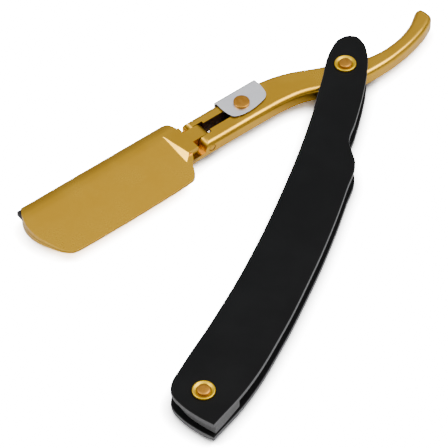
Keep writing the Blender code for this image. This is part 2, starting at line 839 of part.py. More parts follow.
def make_clip(frame):
    """Sheet folded round the spine side of the bar, with round corners on its free edges."""
    span = (CLIP_FRONT_X - 0.001, CLIP_REAR_X + 0.001)
    obj = lengthwise_prism("slider_clip", clip_section(), *span, COLLECTION_NAME)
    obj.data.materials.append(steel_material("slider_clip"))
    obj.parent = frame
    plan = (
        (CLIP_FRONT_X, ACROSS_HIGH_Y, "corner"),
        (CLIP_REAR_X, ACROSS_HIGH_Y, "corner"),
        (CLIP_REAR_X, 0.0085),
        (CLIP_REAR_X - 0.0010, 0.0060),
        (CLIP_REAR_X - 0.0033, CLIP_NEAR_Y),
        (CLIP_FRONT_X + 0.0016, CLIP_NEAR_Y),
        (CLIP_FRONT_X + 0.0006, CLIP_NEAR_Y + 0.0011),
    )
    stencil = outline_solid("clip_plan", plan, 2 * CUT_REACH, None, CUTTER_NAME)
    stencil.parent = frame
    add_boolean(obj, stencil, "INTERSECT")
    hole = upright_cutter("clip_hole", SLIDER_RIVET_RADIUS + SLIDER_PLAY, SLIDER_RIVET_X, SLIDER_RIVET_Y)
    hole.parent = frame
    add_boolean(obj, hole, "DIFFERENCE")
    return obj


def make_slider_rivet(frame):
    """Rivet through the clip and the guide slot, with a thick disc for the thumb."""
    top = clip_top() + SLIDER_PLAY
    high = top + SLIDER_HEAD_HEIGHT
    low = -(clip_top() + SLIDER_WASHER_THICKNESS + 2 * SLIDER_PLAY)
    tail_radius = SLIDER_RIVET_RADIUS * SLIDER_TAIL_RATIO
    profile = (
        (0.0, high),
        (SLIDER_HEAD_RADIUS - RIM_CHAMFER, high),
        (SLIDER_HEAD_RADIUS, high - RIM_CHAMFER),
        (SLIDER_HEAD_RADIUS, top),
        (SLIDER_RIVET_RADIUS, top),
        (SLIDER_RIVET_RADIUS, low),
        (tail_radius, low),
        (tail_radius - RIM_CHAMFER, low - SLIDER_TAIL_HEAD),
        (0.0, low - SLIDER_TAIL_HEAD),
    )
    obj = turned("slider_rivet", profile, rivet_material("slider_rivet"))
    obj.location = (SLIDER_RIVET_X, SLIDER_RIVET_Y, 0.0)
    obj.parent = frame
    return obj


def make_slider_washer(frame):
    """Washer under the rivet's rear head."""
    high = -(clip_top() + SLIDER_PLAY)
    low = high - SLIDER_WASHER_THICKNESS
    outer = SLIDER_WASHER_RADIUS
    inner = SLIDER_RIVET_RADIUS + SLIDER_PLAY
    profile = ((outer, high), (outer, low), (inner, low), (inner, high))
    obj = turned("slider_washer", profile, steel_material("slider_washer"), ring=True)
    obj.location = (SLIDER_RIVET_X, SLIDER_RIVET_Y, 0.0)
    obj.parent = frame
    return obj


def make_blade_frame():
    """Empty on the pivot axis that carries the blade holder."""
    empty = bpy.data.objects.new("blade_frame", None)
    bpy.data.collections[COLLECTION_NAME].objects.link(empty)
    empty.location = (0.0, 0.0, MIDDLE_HEIGHT)
    empty.rotation_euler = (0.0, 0.0, REST_ANGLE)
    return empty


def build():
    """Build every piece of the razor."""
    clear_scene()
    make_collection(COLLECTION_NAME)
    make_collection(CUTTER_NAME)
    make_scale("front_scale", 1)
    make_scale("rear_scale", -1)
    make_spacer()
    make_rivet("pivot_rivet", 0.0)
    make_rivet("end_rivet", -RIVET_SPACING)
    for place, y in (("pivot", 0.0), ("end", -RIVET_SPACING)):
        make_collar(f"{place}_collar_front", 1, y)
        make_collar(f"{place}_collar_rear", -1, y)
    make_thrust_washer("pivot_washer_front", 1)
    make_thrust_washer("pivot_washer_rear", -1)
    frame = make_blade_frame()
    make_shank(frame)
    make_strip(frame)
    for name, x in STUD_PLACES.items():
        make_stud(frame, name, x)
    make_hinge_pin(frame)
    make_upper_jaw(frame)
    make_clip(frame)
    make_slider_rivet(frame)
    make_slider_washer(frame)
    for obj in bpy.data.collections[COLLECTION_NAME].objects:
        if obj.type == "MESH":
            shade(obj)
    bpy.context.view_layer.update()


build()
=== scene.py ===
"""Looks of a folding barber's razor with a clamping blade holder.

Every piece is modelled in the frame of its own sub-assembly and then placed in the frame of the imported
model, in metres. The handle runs along -Y from the pivot. The blade holder's own frame has +X along the
tail, -X along the head, +Y towards the spine and z = 0 on the middle plane of the bar.
"""

import logging
import math
from dataclasses import dataclass, field
from enum import Enum

import bmesh
import bpy
from mathutils import Matrix, Vector


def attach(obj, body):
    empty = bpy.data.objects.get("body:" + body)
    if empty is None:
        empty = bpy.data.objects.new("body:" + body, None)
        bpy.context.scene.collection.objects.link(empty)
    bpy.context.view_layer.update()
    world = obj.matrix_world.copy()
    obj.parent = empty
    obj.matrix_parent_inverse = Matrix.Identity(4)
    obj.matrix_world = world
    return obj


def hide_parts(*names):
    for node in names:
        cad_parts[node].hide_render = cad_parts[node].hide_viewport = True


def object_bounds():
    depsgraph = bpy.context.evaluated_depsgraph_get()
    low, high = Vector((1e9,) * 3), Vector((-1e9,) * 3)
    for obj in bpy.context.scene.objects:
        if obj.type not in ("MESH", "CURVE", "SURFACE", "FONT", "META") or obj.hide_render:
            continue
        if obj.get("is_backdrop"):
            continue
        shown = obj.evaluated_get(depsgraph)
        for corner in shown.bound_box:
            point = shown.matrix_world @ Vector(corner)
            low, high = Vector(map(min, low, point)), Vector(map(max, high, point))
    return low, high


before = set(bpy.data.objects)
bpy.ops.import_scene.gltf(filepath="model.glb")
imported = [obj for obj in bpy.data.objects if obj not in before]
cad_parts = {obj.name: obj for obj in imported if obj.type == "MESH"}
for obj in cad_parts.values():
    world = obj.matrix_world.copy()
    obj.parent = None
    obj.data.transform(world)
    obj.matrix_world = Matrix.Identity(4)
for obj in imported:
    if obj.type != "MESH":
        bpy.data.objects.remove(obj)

LOG = logging.getLogger("razor")

Colour = tuple

WELD = 0.000002
MIDDLE_HEIGHT = 0.00535
REST_TURN = math.radians(57.34)
RIVET_SPACING = 0.1253
GAP_AT_PIVOT = 0.0057
GAP_AT_END = 0.0044
SPLAY = math.atan((GAP_AT_PIVOT - GAP_AT_END) / 2 / RIVET_SPACING)
BLADE_FRAME = Matrix.Translation((0.0, 0.0, MIDDLE_HEIGHT)) @ Matrix.Rotation(REST_TURN, 4, "Z")

OUTLINE_STEPS = 10
FLAT_ANGLE = math.radians(0.05)
CROWN_WELD_SHARE = 0.06
SHADE_WEIGHT = 100

PATCH_DETAIL = 4.0
PATCH_ROUGHNESS = 0.55
PATCH_FADE = (0.3, 0.7)
GRAIN_DETAIL = 3.0
GRAIN_ROUGHNESS = 0.6
GRAIN_SHARE = 0.5
SCRATCH_STRETCH = (40.0, 3000.0, 600.0)
SCRATCH_DETAIL = 2.0
SCRATCH_FULL = 0.8
SIDE_FADE = (0.5, 0.97)


class Body(Enum):
    """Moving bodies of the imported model."""

    HANDLE = "handle"
    BLADE_HOLDER = "blade_holder"
    UPPER_JAW = "upper_jaw"
    SLIDER = "slider"


class Side(Enum):
    """Sides of the handle, as signs along +Z."""

    FRONT = 1
    REAR = -1


class Carving(Enum):
    """Ways in which one solid shapes another."""

    CUT = "DIFFERENCE"
    JOIN = "UNION"
    KEEP = "INTERSECT"


# --- Shader groups --------------------------------------------------------------------------------


def add_node(tree: bpy.types.NodeTree, kind: str, **settings: object) -> bpy.types.Node:
    """Add a node to a tree.

    Args:
        tree: The tree.
        kind: The node's type.
        **settings: Properties to set on it.

    Returns:
        The new node.
    """
    node = tree.nodes.new(kind)
    for key, value in settings.items():
        setattr(node, key, value)
    return node


class ShaderGroup:
    """A node group built once and placed in each finish that uses it."""

    def __init__(self, name: str) -> None:
        """Start an empty group.

        Args:
            name: The group's name.
        """
        self.tree = bpy.data.node_groups.new(name, "ShaderNodeTree")
        self.inlet = self.tree.nodes.new("NodeGroupInput")
        self.outlet = self.tree.nodes.new("NodeGroupOutput")

    def socket(self, name: str, kind: str, is_input: bool, value: object = None) -> None:
        """Add a socket to the group.

        Args:
            name: The socket's name.
            kind: Its type: NodeSocketFloat, NodeSocketColor or NodeSocketVector.
            is_input: Whether it is an input.
            value: Its default value.
        """
        way = "INPUT" if is_input else "OUTPUT"
        item = self.tree.interface.new_socket(name=name, in_out=way, socket_type=kind)
        if value is not None:
            item.default_value = value

    def add(self, kind: str, **settings: object) -> bpy.types.Node:
        """Add a node to the group."""
        return add_node(self.tree, kind, **settings)

    def link(self, source: bpy.types.NodeSocket, target: bpy.types.NodeSocket) -> None:
        """Join two sockets of the group."""
        self.tree.links.new(source, target)


def mottle_group() -> bpy.types.ShaderNodeTree:
    """Build the group for slow drifts of tone and fine grain.

    Returns:
        A group that puts out a colour, a roughness and a height.
    """
    group = ShaderGroup("mottle")
    group.socket("Vector", "NodeSocketVector", True)
    group.socket("Light", "NodeSocketColor", True)
    group.socket("Dark", "NodeSocketColor", True)
    group.socket("Patch Scale", "NodeSocketFloat", True, 120.0)
    group.socket("Grain Scale", "NodeSocketFloat", True, 5000.0)
    group.socket("Smooth", "NodeSocketFloat", True, 0.3)
    group.socket("Rough", "NodeSocketFloat", True, 0.45)
    group.socket("Colour", "NodeSocketColor", False)
    group.socket("Roughness", "NodeSocketFloat", False)
    group.socket("Height", "NodeSocketFloat", False)
    patch = group.add("ShaderNodeTexNoise", noise_dimensions="3D")
    grain = group.add("ShaderNodeTexNoise", noise_dimensions="3D")
    for noise, scale, detail, roughness in (
        (patch, "Patch Scale", PATCH_DETAIL, PATCH_ROUGHNESS),
        (grain, "Grain Scale", GRAIN_DETAIL, GRAIN_ROUGHNESS),
    ):
        noise.inputs["Detail"].default_value = detail
        noise.inputs["Roughness"].default_value = roughness
        group.link(group.inlet.outputs["Vector"], noise.inputs["Vector"])
        group.link(group.inlet.outputs[scale], noise.inputs["Scale"])
    spread = group.add("ShaderNodeMapRange", interpolation_type="SMOOTHSTEP")
    spread.inputs["From Min"].default_value = PATCH_FADE[0]
    spread.inputs["From Max"].default_value = PATCH_FADE[1]
    group.link(patch.outputs["Fac"], spread.inputs["Value"])
    blend = group.add("ShaderNodeMix", data_type="RGBA")
    group.link(spread.outputs["Result"], blend.inputs["Factor"])
    group.link(group.inlet.outputs["Light"], blend.inputs["A"])
    group.link(group.inlet.outputs["Dark"], blend.inputs["B"])
    group.link(blend.outputs["Result"], group.outlet.inputs["Colour"])
    both = group.add("ShaderNodeMix", data_type="FLOAT")
    both.inputs["Factor"].default_value = GRAIN_SHARE
    group.link(spread.outputs["Result"], both.inputs["A"])
    group.link(grain.outputs["Fac"], both.inputs["B"])
    rough = group.add("ShaderNodeMix", data_type="FLOAT")
    group.link(both.outputs["Result"], rough.inputs["Factor"])
    group.link(group.inlet.outputs["Smooth"], rough.inputs["A"])
    group.link(group.inlet.outputs["Rough"], rough.inputs["B"])
    group.link(rough.outputs["Result"], group.outlet.inputs["Roughness"])
    group.link(grain.outputs["Fac"], group.outlet.inputs["Height"])
    return group.tree


def scratch_group() -> bpy.types.ShaderNodeTree:
    """Build the group for sparse hair scratches that run one way.

    Returns:
        A group that puts out a mask.
    """
    group = ShaderGroup("scratches")
    group.socket("Vector", "NodeSocketVector", True)
    group.socket("Density", "NodeSocketFloat", True, 0.6)
    group.socket("Mask", "NodeSocketFloat", False)
    stretch = group.add("ShaderNodeMapping", vector_type="POINT")
    stretch.inputs["Scale"].default_value = SCRATCH_STRETCH
    group.link(group.inlet.outputs["Vector"], stretch.inputs["Vector"])
    lines = group.add("ShaderNodeTexNoise", noise_dimensions="3D")
    lines.inputs["Scale"].default_value = 1.0
    lines.inputs["Detail"].default_value = SCRATCH_DETAIL
    group.link(stretch.outputs["Vector"], lines.inputs["Vector"])
    keep = group.add("ShaderNodeMapRange", interpolation_type="SMOOTHSTEP")
    keep.inputs["From Max"].default_value = SCRATCH_FULL
    group.link(group.inlet.outputs["Density"], keep.inputs["From Min"])
    group.link(lines.outputs["Fac"], keep.inputs["Value"])
    group.link(keep.outputs["Result"], group.outlet.inputs["Mask"])
    return group.tree


def side_sheen_group() -> bpy.types.ShaderNodeTree:
    """Build the group that finds the sides of a flat sheet, whose faces look along Z, where a sheen is
    painted.

    Returns:
        A group that puts out a mask, which is 1 on the sides.
    """
    group = ShaderGroup("painted side sheen")
    group.socket("Normal", "NodeSocketVector", True)
    group.socket("Mask", "NodeSocketFloat", False)
    split = group.add("ShaderNodeSeparateXYZ")
    group.link(group.inlet.outputs["Normal"], split.inputs["Vector"])
    size = group.add("ShaderNodeMath", operation="ABSOLUTE")
    group.link(split.outputs["Z"], size.inputs[0])
    fade = group.add("ShaderNodeMapRange", interpolation_type="SMOOTHSTEP")
    fade.inputs["From Min"].default_value = SIDE_FADE[0]
    fade.inputs["From Max"].default_value = SIDE_FADE[1]
    fade.inputs["To Min"].default_value = 1.0
    fade.inputs["To Max"].default_value = 0.0
    group.link(size.outputs["Value"], fade.inputs["Value"])
    group.link(fade.outputs["Result"], group.outlet.inputs["Mask"])
    return group.tree


# --- Finishes -------------------------------------------------------------------------------------


@dataclass(frozen=True)
class Finish:
    """A surface with drifting tone, fine grain and a few scratches."""

    name: str
    light: Colour
    dark: Colour
    smooth: float
    rough: float
    metallic: float
    patch_scale: float = 120.0
    grain_scale: float = 5000.0
    grain_depth: float = 0.00001
    scratch_depth: float = 0.0
    scratch_turn: float = 0.0
    # Lighter colour painted on the sides as a reflection sheen; empty for none.
    edge: Colour = ()
    specular: float = 0.5

    def material(self) -> bpy.types.Material:
        """Build the material, or return the one that was built before.

        Returns:
            The finish as a material.
        """
        made = bpy.data.materials.get(self.name)
        if made is not None:
            return made
        mat = bpy.data.materials.new(self.name)
        mat.use_nodes = True
        tree = mat.node_tree
        shader = tree.nodes["Principled BSDF"]
        shader.inputs["Metallic"].default_value = self.metallic
        shader.inputs["Specular IOR Level"].default_value = self.specular
        place = tree.nodes.new("ShaderNodeTexCoord")
        mottle = self._group(tree, "mottle")
        mottle.inputs["Light"].default_value = (*self.light, 1.0)
        mottle.inputs["Dark"].default_value = (*self.dark, 1.0)
        mottle.inputs["Patch Scale"].default_value = self.patch_scale
        mottle.inputs["Grain Scale"].default_value = self.grain_scale
        mottle.inputs["Smooth"].default_value = self.smooth
        mottle.inputs["Rough"].default_value = self.rough
        tree.links.new(place.outputs["Object"], mottle.inputs["Vector"])
        tree.links.new(mottle.outputs["Roughness"], shader.inputs["Roughness"])
        colour = mottle.outputs["Colour"]
        # Painted sheen: the sides get a lighter colour for the light they reflect.
        if self.edge:
            colour = self._painted_side_sheen(tree, place, colour)
        tree.links.new(colour, shader.inputs["Base Color"])
        bump = tree.nodes.new("ShaderNodeBump")
        bump.inputs["Distance"].default_value = self.grain_depth
        bump.inputs["Strength"].default_value = 1.0
        tree.links.new(mottle.outputs["Height"], bump.inputs["Height"])
        last = bump
        if self.scratch_depth > 0.0:
            last = self._scratches(tree, place, bump)
        tree.links.new(last.outputs["Normal"], shader.inputs["Normal"])
        return mat

    def _group(self, tree: bpy.types.NodeTree, name: str) -> bpy.types.Node:
        """Place a shader group in the material."""
        return add_node(tree, "ShaderNodeGroup", node_tree=bpy.data.node_groups[name])

    def _painted_side_sheen(
        self,
        tree: bpy.types.NodeTree,
        place: bpy.types.Node,
        colour: bpy.types.NodeSocket,
    ) -> bpy.types.NodeSocket:
        """Paint a lighter colour on the sides, a painted sheen of reflected light.

        Args:
            tree: The material's nodes.
            place: The texture coordinates.
            colour: The colour of the faces.

        Returns:
            The socket with the mixed colour.
        """
        sides = self._group(tree, "painted side sheen")
        tree.links.new(place.outputs["Normal"], sides.inputs["Normal"])
        mix = add_node(tree, "ShaderNodeMix", data_type="RGBA")
        tree.links.new(sides.outputs["Mask"], mix.inputs["Factor"])
        tree.links.new(colour, mix.inputs["A"])
        mix.inputs["B"].default_value = (*self.edge, 1.0)
        return mix.outputs["Result"]

    def _scratches(
        self,
        tree: bpy.types.NodeTree,
        place: bpy.types.Node,
        bump: bpy.types.Node,
    ) -> bpy.types.Node:
        """Lay hair scratches over the grain.

        Args:
            tree: The material's nodes.
            place: The texture coordinates.
            bump: The grain's bump node.

        Returns:
            The bump node that ends the chain.
        """
        turn = tree.nodes.new("ShaderNodeMapping")
        turn.inputs["Rotation"].default_value = (0.0, 0.0, self.scratch_turn)
        tree.links.new(place.outputs["Object"], turn.inputs["Vector"])
        lines = self._group(tree, "scratches")
        tree.links.new(turn.outputs["Vector"], lines.inputs["Vector"])
        top = add_node(tree, "ShaderNodeBump", invert=True)
        top.inputs["Distance"].default_value = self.scratch_depth
        top.inputs["Strength"].default_value = 1.0
        tree.links.new(lines.outputs["Mask"], top.inputs["Height"])
        tree.links.new(bump.outputs["Normal"], top.inputs["Normal"])
        return top


SATIN_GOLD = Finish(
    name="satin gold",
    light=(0.580, 0.330, 0.027),
    dark=(0.510, 0.280, 0.020),
    smooth=0.24,
    rough=0.34,
    metallic=1.0,
    patch_scale=90.0,
    grain_depth=0.000002,
    scratch_depth=0.0000015,
    scratch_turn=-REST_TURN,
)
# Slot walls are darkened to paint the shade inside the slots.
SLOT_PAINTED_SHADE_GOLD = Finish(
    name="slot gold with painted shade",
    light=(0.045, 0.016, 0.005),
    dark=(0.024, 0.008, 0.003),
    smooth=0.45,
    rough=0.65,
    metallic=0.6,
    patch_scale=500.0,
    grain_depth=0.000004,
    specular=0.15,
)
COLLAR_GOLD = Finish(
    name="bright collar gold",
    light=(0.64, 0.405, 0.010),
    dark=(0.57, 0.350, 0.008),
    smooth=0.34,
    rough=0.46,
    metallic=1.0,
    patch_scale=400.0,
    grain_depth=0.0000008,
)
RIVET_GOLD = Finish(
    name="rosy rivet gold",
    light=(0.43, 0.200, 0.028),
    dark=(0.33, 0.145, 0.018),
    smooth=0.34,
    rough=0.48,
    metallic=1.0,
    patch_scale=900.0,
    grain_depth=0.0000015,
)
BLACK_COAT = Finish(
    name="matte black coat",
    light=(0.0042, 0.0042, 0.0044),
    dark=(0.0028, 0.0028, 0.0030),
    smooth=0.50,
    rough=0.66,
    metallic=0.0,
    patch_scale=60.0,
    grain_scale=3500.0,
    grain_depth=0.000012,
    scratch_depth=0.000003,
    scratch_turn=math.pi / 2,
    # Lighter grey painted on the plates' sides as their reflection sheen.
    edge=(0.11, 0.11, 0.112),
    specular=0.07,
)
BLACK_RUBBER = Finish(
    name="black strip",
    light=(0.0050, 0.0050, 0.0054),
    dark=(0.0030, 0.0030, 0.0034),
    smooth=0.55,
    rough=0.75,
    metallic=0.0,
    grain_depth=0.00002,
)
# The clip's cut sides are darkened to paint the shadow along the sheet's edge.
CLIP_EDGE_PAINTED_SHADOW = Finish(
    name="steel with painted edge shadow",
    light=(0.030, 0.024, 0.020),
    dark=(0.014, 0.011, 0.010),
    smooth=0.45,
    rough=0.65,
    metallic=0.5,
    patch_scale=500.0,
    grain_depth=0.000002,
    specular=0.15,
)
SATIN_STEEL = Finish(
    name="satin sheet steel",
    light=(0.86, 0.87, 0.91),
    dark=(0.76, 0.77, 0.82),
    smooth=0.26,
    rough=0.38,
    metallic=1.0,
    patch_scale=250.0,
    grain_depth=0.000006,
    scratch_depth=0.000004,
    scratch_turn=-REST_TURN,
)


# --- Mesh tools -----------------------------------------------------------------------------------


def sheet_from_outline(knots: list) -> bmesh.types.BMesh:
    """Fill a closed outline with one flat face that looks up.

    Args:
        knots: Points (x, y) on a smooth stretch, or (x, y, "corner").

    Returns:
        A mesh with one face at z = 0.
    """
    data = bpy.data.curves.new("outline", "CURVE")
    data.dimensions = "2D"
    data.fill_mode = "NONE"
    data.resolution_u = OUTLINE_STEPS
    spline = data.splines.new("BEZIER")
    spline.bezier_points.add(len(knots) - 1)
    for point, knot in zip(spline.bezier_points, knots):
        point.co = (knot[0], knot[1], 0.0)
        kind = "VECTOR" if len(knot) == 3 else "AUTO"
        point.handle_left_type = kind
        point.handle_right_type = kind
    spline.use_cyclic_u = True
    obj = bpy.data.objects.new("outline", data)
    bpy.context.scene.collection.objects.link(obj)
    bpy.context.view_layer.update()
    mesh = bpy.data.meshes.new_from_object(obj.evaluated_get(bpy.context.evaluated_depsgraph_get()))
    bm = bmesh.new()
    bm.from_mesh(mesh)
    bpy.data.objects.remove(obj, do_unlink=True)
    bpy.data.curves.remove(data)
    bpy.data.meshes.remove(mesh)
    bmesh.ops.remove_doubles(bm, verts=bm.verts, dist=WELD)
    bmesh.ops.dissolve_limit(bm, angle_limit=FLAT_ANGLE, verts=bm.verts, edges=bm.edges)
    face = bmesh.ops.contextual_create(bm, geom=bm.edges[:])["faces"][0]
    face.normal_update()
    if face.normal.z < 0.0:
        face.normal_flip()
    return bm


def plate(knots: list, low: float, high: float) -> bmesh.types.BMesh:
    """Make a plate from an outline.

    Args:
        knots: The outline's knots.
        low: Height of its lower face.
        high: Height of its upper face.

    Returns:
        The closed plate.
    """
    bm = sheet_from_outline(knots)
    bmesh.ops.translate(bm, verts=bm.verts, vec=(0.0, 0.0, low))
    grown = bmesh.ops.extrude_face_region(bm, geom=bm.faces[:])["geom"]
    lifted = [item for item in grown if isinstance(item, bmesh.types.BMVert)]
    bmesh.ops.translate(bm, verts=lifted, vec=(0.0, 0.0, high - low))
    bmesh.ops.recalc_face_normals(bm, faces=bm.faces)
    return bm


def brick(low: tuple, high: tuple) -> bmesh.types.BMesh:
    """Make a box between two corners.

    Args:
        low: Its lowest corner.
        high: Its highest corner.

    Returns:
        The box.
    """
    bm = bmesh.new()
    size = Vector(high) - Vector(low)
    middle = (Vector(high) + Vector(low)) / 2
    bmesh.ops.create_cube(bm, size=1.0, matrix=Matrix.Translation(middle) @ Matrix.Diagonal((*size, 1.0)))
    return bm


def rod(radius: float, start: tuple, end: tuple, sides: int = 48) -> bmesh.types.BMesh:
    """Make a round rod between two points.

    Args:
        radius: Its radius.
        start: Centre of one end.
        end: Centre of the other end.
        sides: How many sides stand for the round.

    Returns:
        The rod.
    """
    bm = bmesh.new()
    axis = Vector(end) - Vector(start)
    turn = axis.to_track_quat("Z", "Y").to_matrix().to_4x4()
    bmesh.ops.create_cone(
        bm,
        cap_ends=True,
        segments=sides,
        radius1=radius,
        radius2=radius,
        depth=axis.length,
        matrix=Matrix.Translation((Vector(start) + Vector(end)) / 2) @ turn,
    )
    return bm


def turned(profile: list, sides: int = 64, ring: bool = False) -> bmesh.types.BMesh:
    """Turn a profile about Z.

    Args:
        profile: Points (radius, height) down its outer side.
        sides: How many steps the turn takes.
        ring: Whether the profile closes on itself.

    Returns:
        The turned solid.
    """
    bm = bmesh.new()
    verts = [bm.verts.new((radius, 0.0, height)) for radius, height in profile]
    pairs = list(zip(verts, verts[1:]))
    if ring:
        pairs.append((verts[-1], verts[0]))
    edges = [bm.edges.new(pair) for pair in pairs]
    bmesh.ops.spin(
        bm,
        geom=verts + edges,
        cent=(0.0, 0.0, 0.0),
        axis=(0.0, 0.0, 1.0),
        angle=math.tau,
        steps=sides,
        use_merge=True,
    )
    bmesh.ops.remove_doubles(bm, verts=bm.verts, dist=WELD)
    bmesh.ops.recalc_face_normals(bm, faces=bm.faces)
    return bm


def slice_off(bm: bmesh.types.BMesh, point: Vector, normal: Vector) -> None:
    """Cut away what lies beyond a plane and close the cut.

    Args:
        bm: The solid.
        point: A point on the plane.
        normal: Direction of the part that goes.
    """
    bmesh.ops.bisect_plane(
        bm,
        geom=bm.verts[:] + bm.edges[:] + bm.faces[:],
        plane_co=point,
        plane_no=normal,
        clear_outer=True,
    )
    rim = [edge for edge in bm.edges if edge.is_boundary]
    if rim:
        bmesh.ops.contextual_create(bm, geom=rim)
    bmesh.ops.recalc_face_normals(bm, faces=bm.faces)


def break_edges(bm: bmesh.types.BMesh, width: float, segments: int = 2, least: float = 40.0) -> None:
    """Round the edges of a solid that are sharper than an angle.

    Args:
        bm: The solid.
        width: How far each edge is rounded.
        segments: How many facets stand for the round.
        least: The least angle, in degrees, of an edge that is rounded.
    """
    limit = math.radians(least)
    edges = [edge for edge in bm.edges if edge.is_convex and edge.calc_face_angle(0.0) > limit]
    bmesh.ops.bevel(
        bm,
        geom=edges,
        offset=width,
        offset_type="OFFSET",
        affect="EDGES",
        segments=segments,
        profile=0.5,
        material=-1,
        clamp_overlap=True,
    )


def crown_face(bm: bmesh.types.BMesh, side: int, radius: float, facets: int = 8) -> None:
    """Round the rim of a plate's upper or lower face, less where the rim is tight.

    Args:
        bm: The plate, whose wall stops one radius short of its full height.
        side: 1 for the upper face and -1 for the lower face.
        radius: The radius of the round.
        facets: How many facets stand for the round.
    """
    bm.faces.ensure_lookup_table()
    for facet in range(facets):
        start = math.pi / 2 * facet / facets
        end = math.pi / 2 * (facet + 1) / facets
        face = max(bm.faces, key=lambda item: side * item.calc_center_median().z)
        bmesh.ops.inset_region(
            bm,
            faces=[face],
            thickness=radius * (math.cos(start) - math.cos(end)),
            depth=radius * (math.sin(end) - math.sin(start)),
            use_even_offset=True,
            use_boundary=True,
        )
        face = max(bm.faces, key=lambda item: side * item.calc_center_median().z)
        bmesh.ops.remove_doubles(bm, verts=face.verts[:], dist=radius * CROWN_WELD_SHARE)


def carve(bm: bmesh.types.BMesh, tool: bmesh.types.BMesh, how: Carving) -> bmesh.types.BMesh:
    """Shape one solid with another.

    Args:
        bm: The solid, which is used up.
        tool: The other solid, which is used up.
        how: Whether to cut, join or keep what is common.

    Returns:
        The new solid.
    """
    pair = []
    for source in (bm, tool):
        mesh = bpy.data.meshes.new("carving")
        source.to_mesh(mesh)
        source.free()
        obj = bpy.data.objects.new("carving", mesh)
        bpy.context.scene.collection.objects.link(obj)
        pair.append(obj)
    modifier = pair[0].modifiers.new("carve", "BOOLEAN")
    modifier.operation = how.value
    modifier.object = pair[1]
    modifier.solver = "EXACT"
    bpy.context.view_layer.update()
    shaped = pair[0].evaluated_get(bpy.context.evaluated_depsgraph_get())
    mesh = bpy.data.meshes.new_from_object(shaped)
    result = bmesh.new()
    result.from_mesh(mesh)
    bpy.data.meshes.remove(mesh)
    for obj in pair:
        data = obj.data
        bpy.data.objects.remove(obj, do_unlink=True)
        bpy.data.meshes.remove(data)
    return result


def finished(
    bm: bmesh.types.BMesh,
    name: str,
    place: Matrix,
    finish: Finish,
    body: Body,
    nodes: list,
    smooth_angle: float = 32.0,
    inside: Finish | None = None,
) -> bpy.types.Object:
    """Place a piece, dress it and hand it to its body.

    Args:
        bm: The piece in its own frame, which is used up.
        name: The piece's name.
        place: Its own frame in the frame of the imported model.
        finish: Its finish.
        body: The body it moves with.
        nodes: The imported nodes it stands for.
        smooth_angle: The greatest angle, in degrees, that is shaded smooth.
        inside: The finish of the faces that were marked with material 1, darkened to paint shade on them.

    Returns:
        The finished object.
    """
    bmesh.ops.transform(bm, matrix=place, verts=bm.verts)
    bmesh.ops.recalc_face_normals(bm, faces=bm.faces)
    mesh = bpy.data.meshes.new(name)
    bm.to_mesh(mesh)
    bm.free()
    mesh.shade_smooth()
    mesh.set_sharp_from_angle(angle=math.radians(smooth_angle))
    mesh.materials.append(finish.material())
    if inside is not None:
        mesh.materials.append(inside.material())
    obj = bpy.data.objects.new(name, mesh)
    bpy.context.scene.collection.objects.link(obj)
    weigh = obj.modifiers.new("weigh", "WEIGHTED_NORMAL")
    weigh.keep_sharp = True
    weigh.weight = SHADE_WEIGHT
    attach(obj, body.value)
    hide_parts(*nodes)
    LOG.info("%s: %d faces on %s", name, len(mesh.polygons), body.value)
    return obj


def dress(node: str, finish: Finish) -> None:
    """Give a carried-over node a finish.

    Args:
        node: The node's name.
        finish: Its finish.
    """
    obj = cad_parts[node]
    for slot in obj.material_slots:
        slot.material = finish.material()
    LOG.info("%s: carried over", node)


# --- Handle ---------------------------------------------------------------------------------------


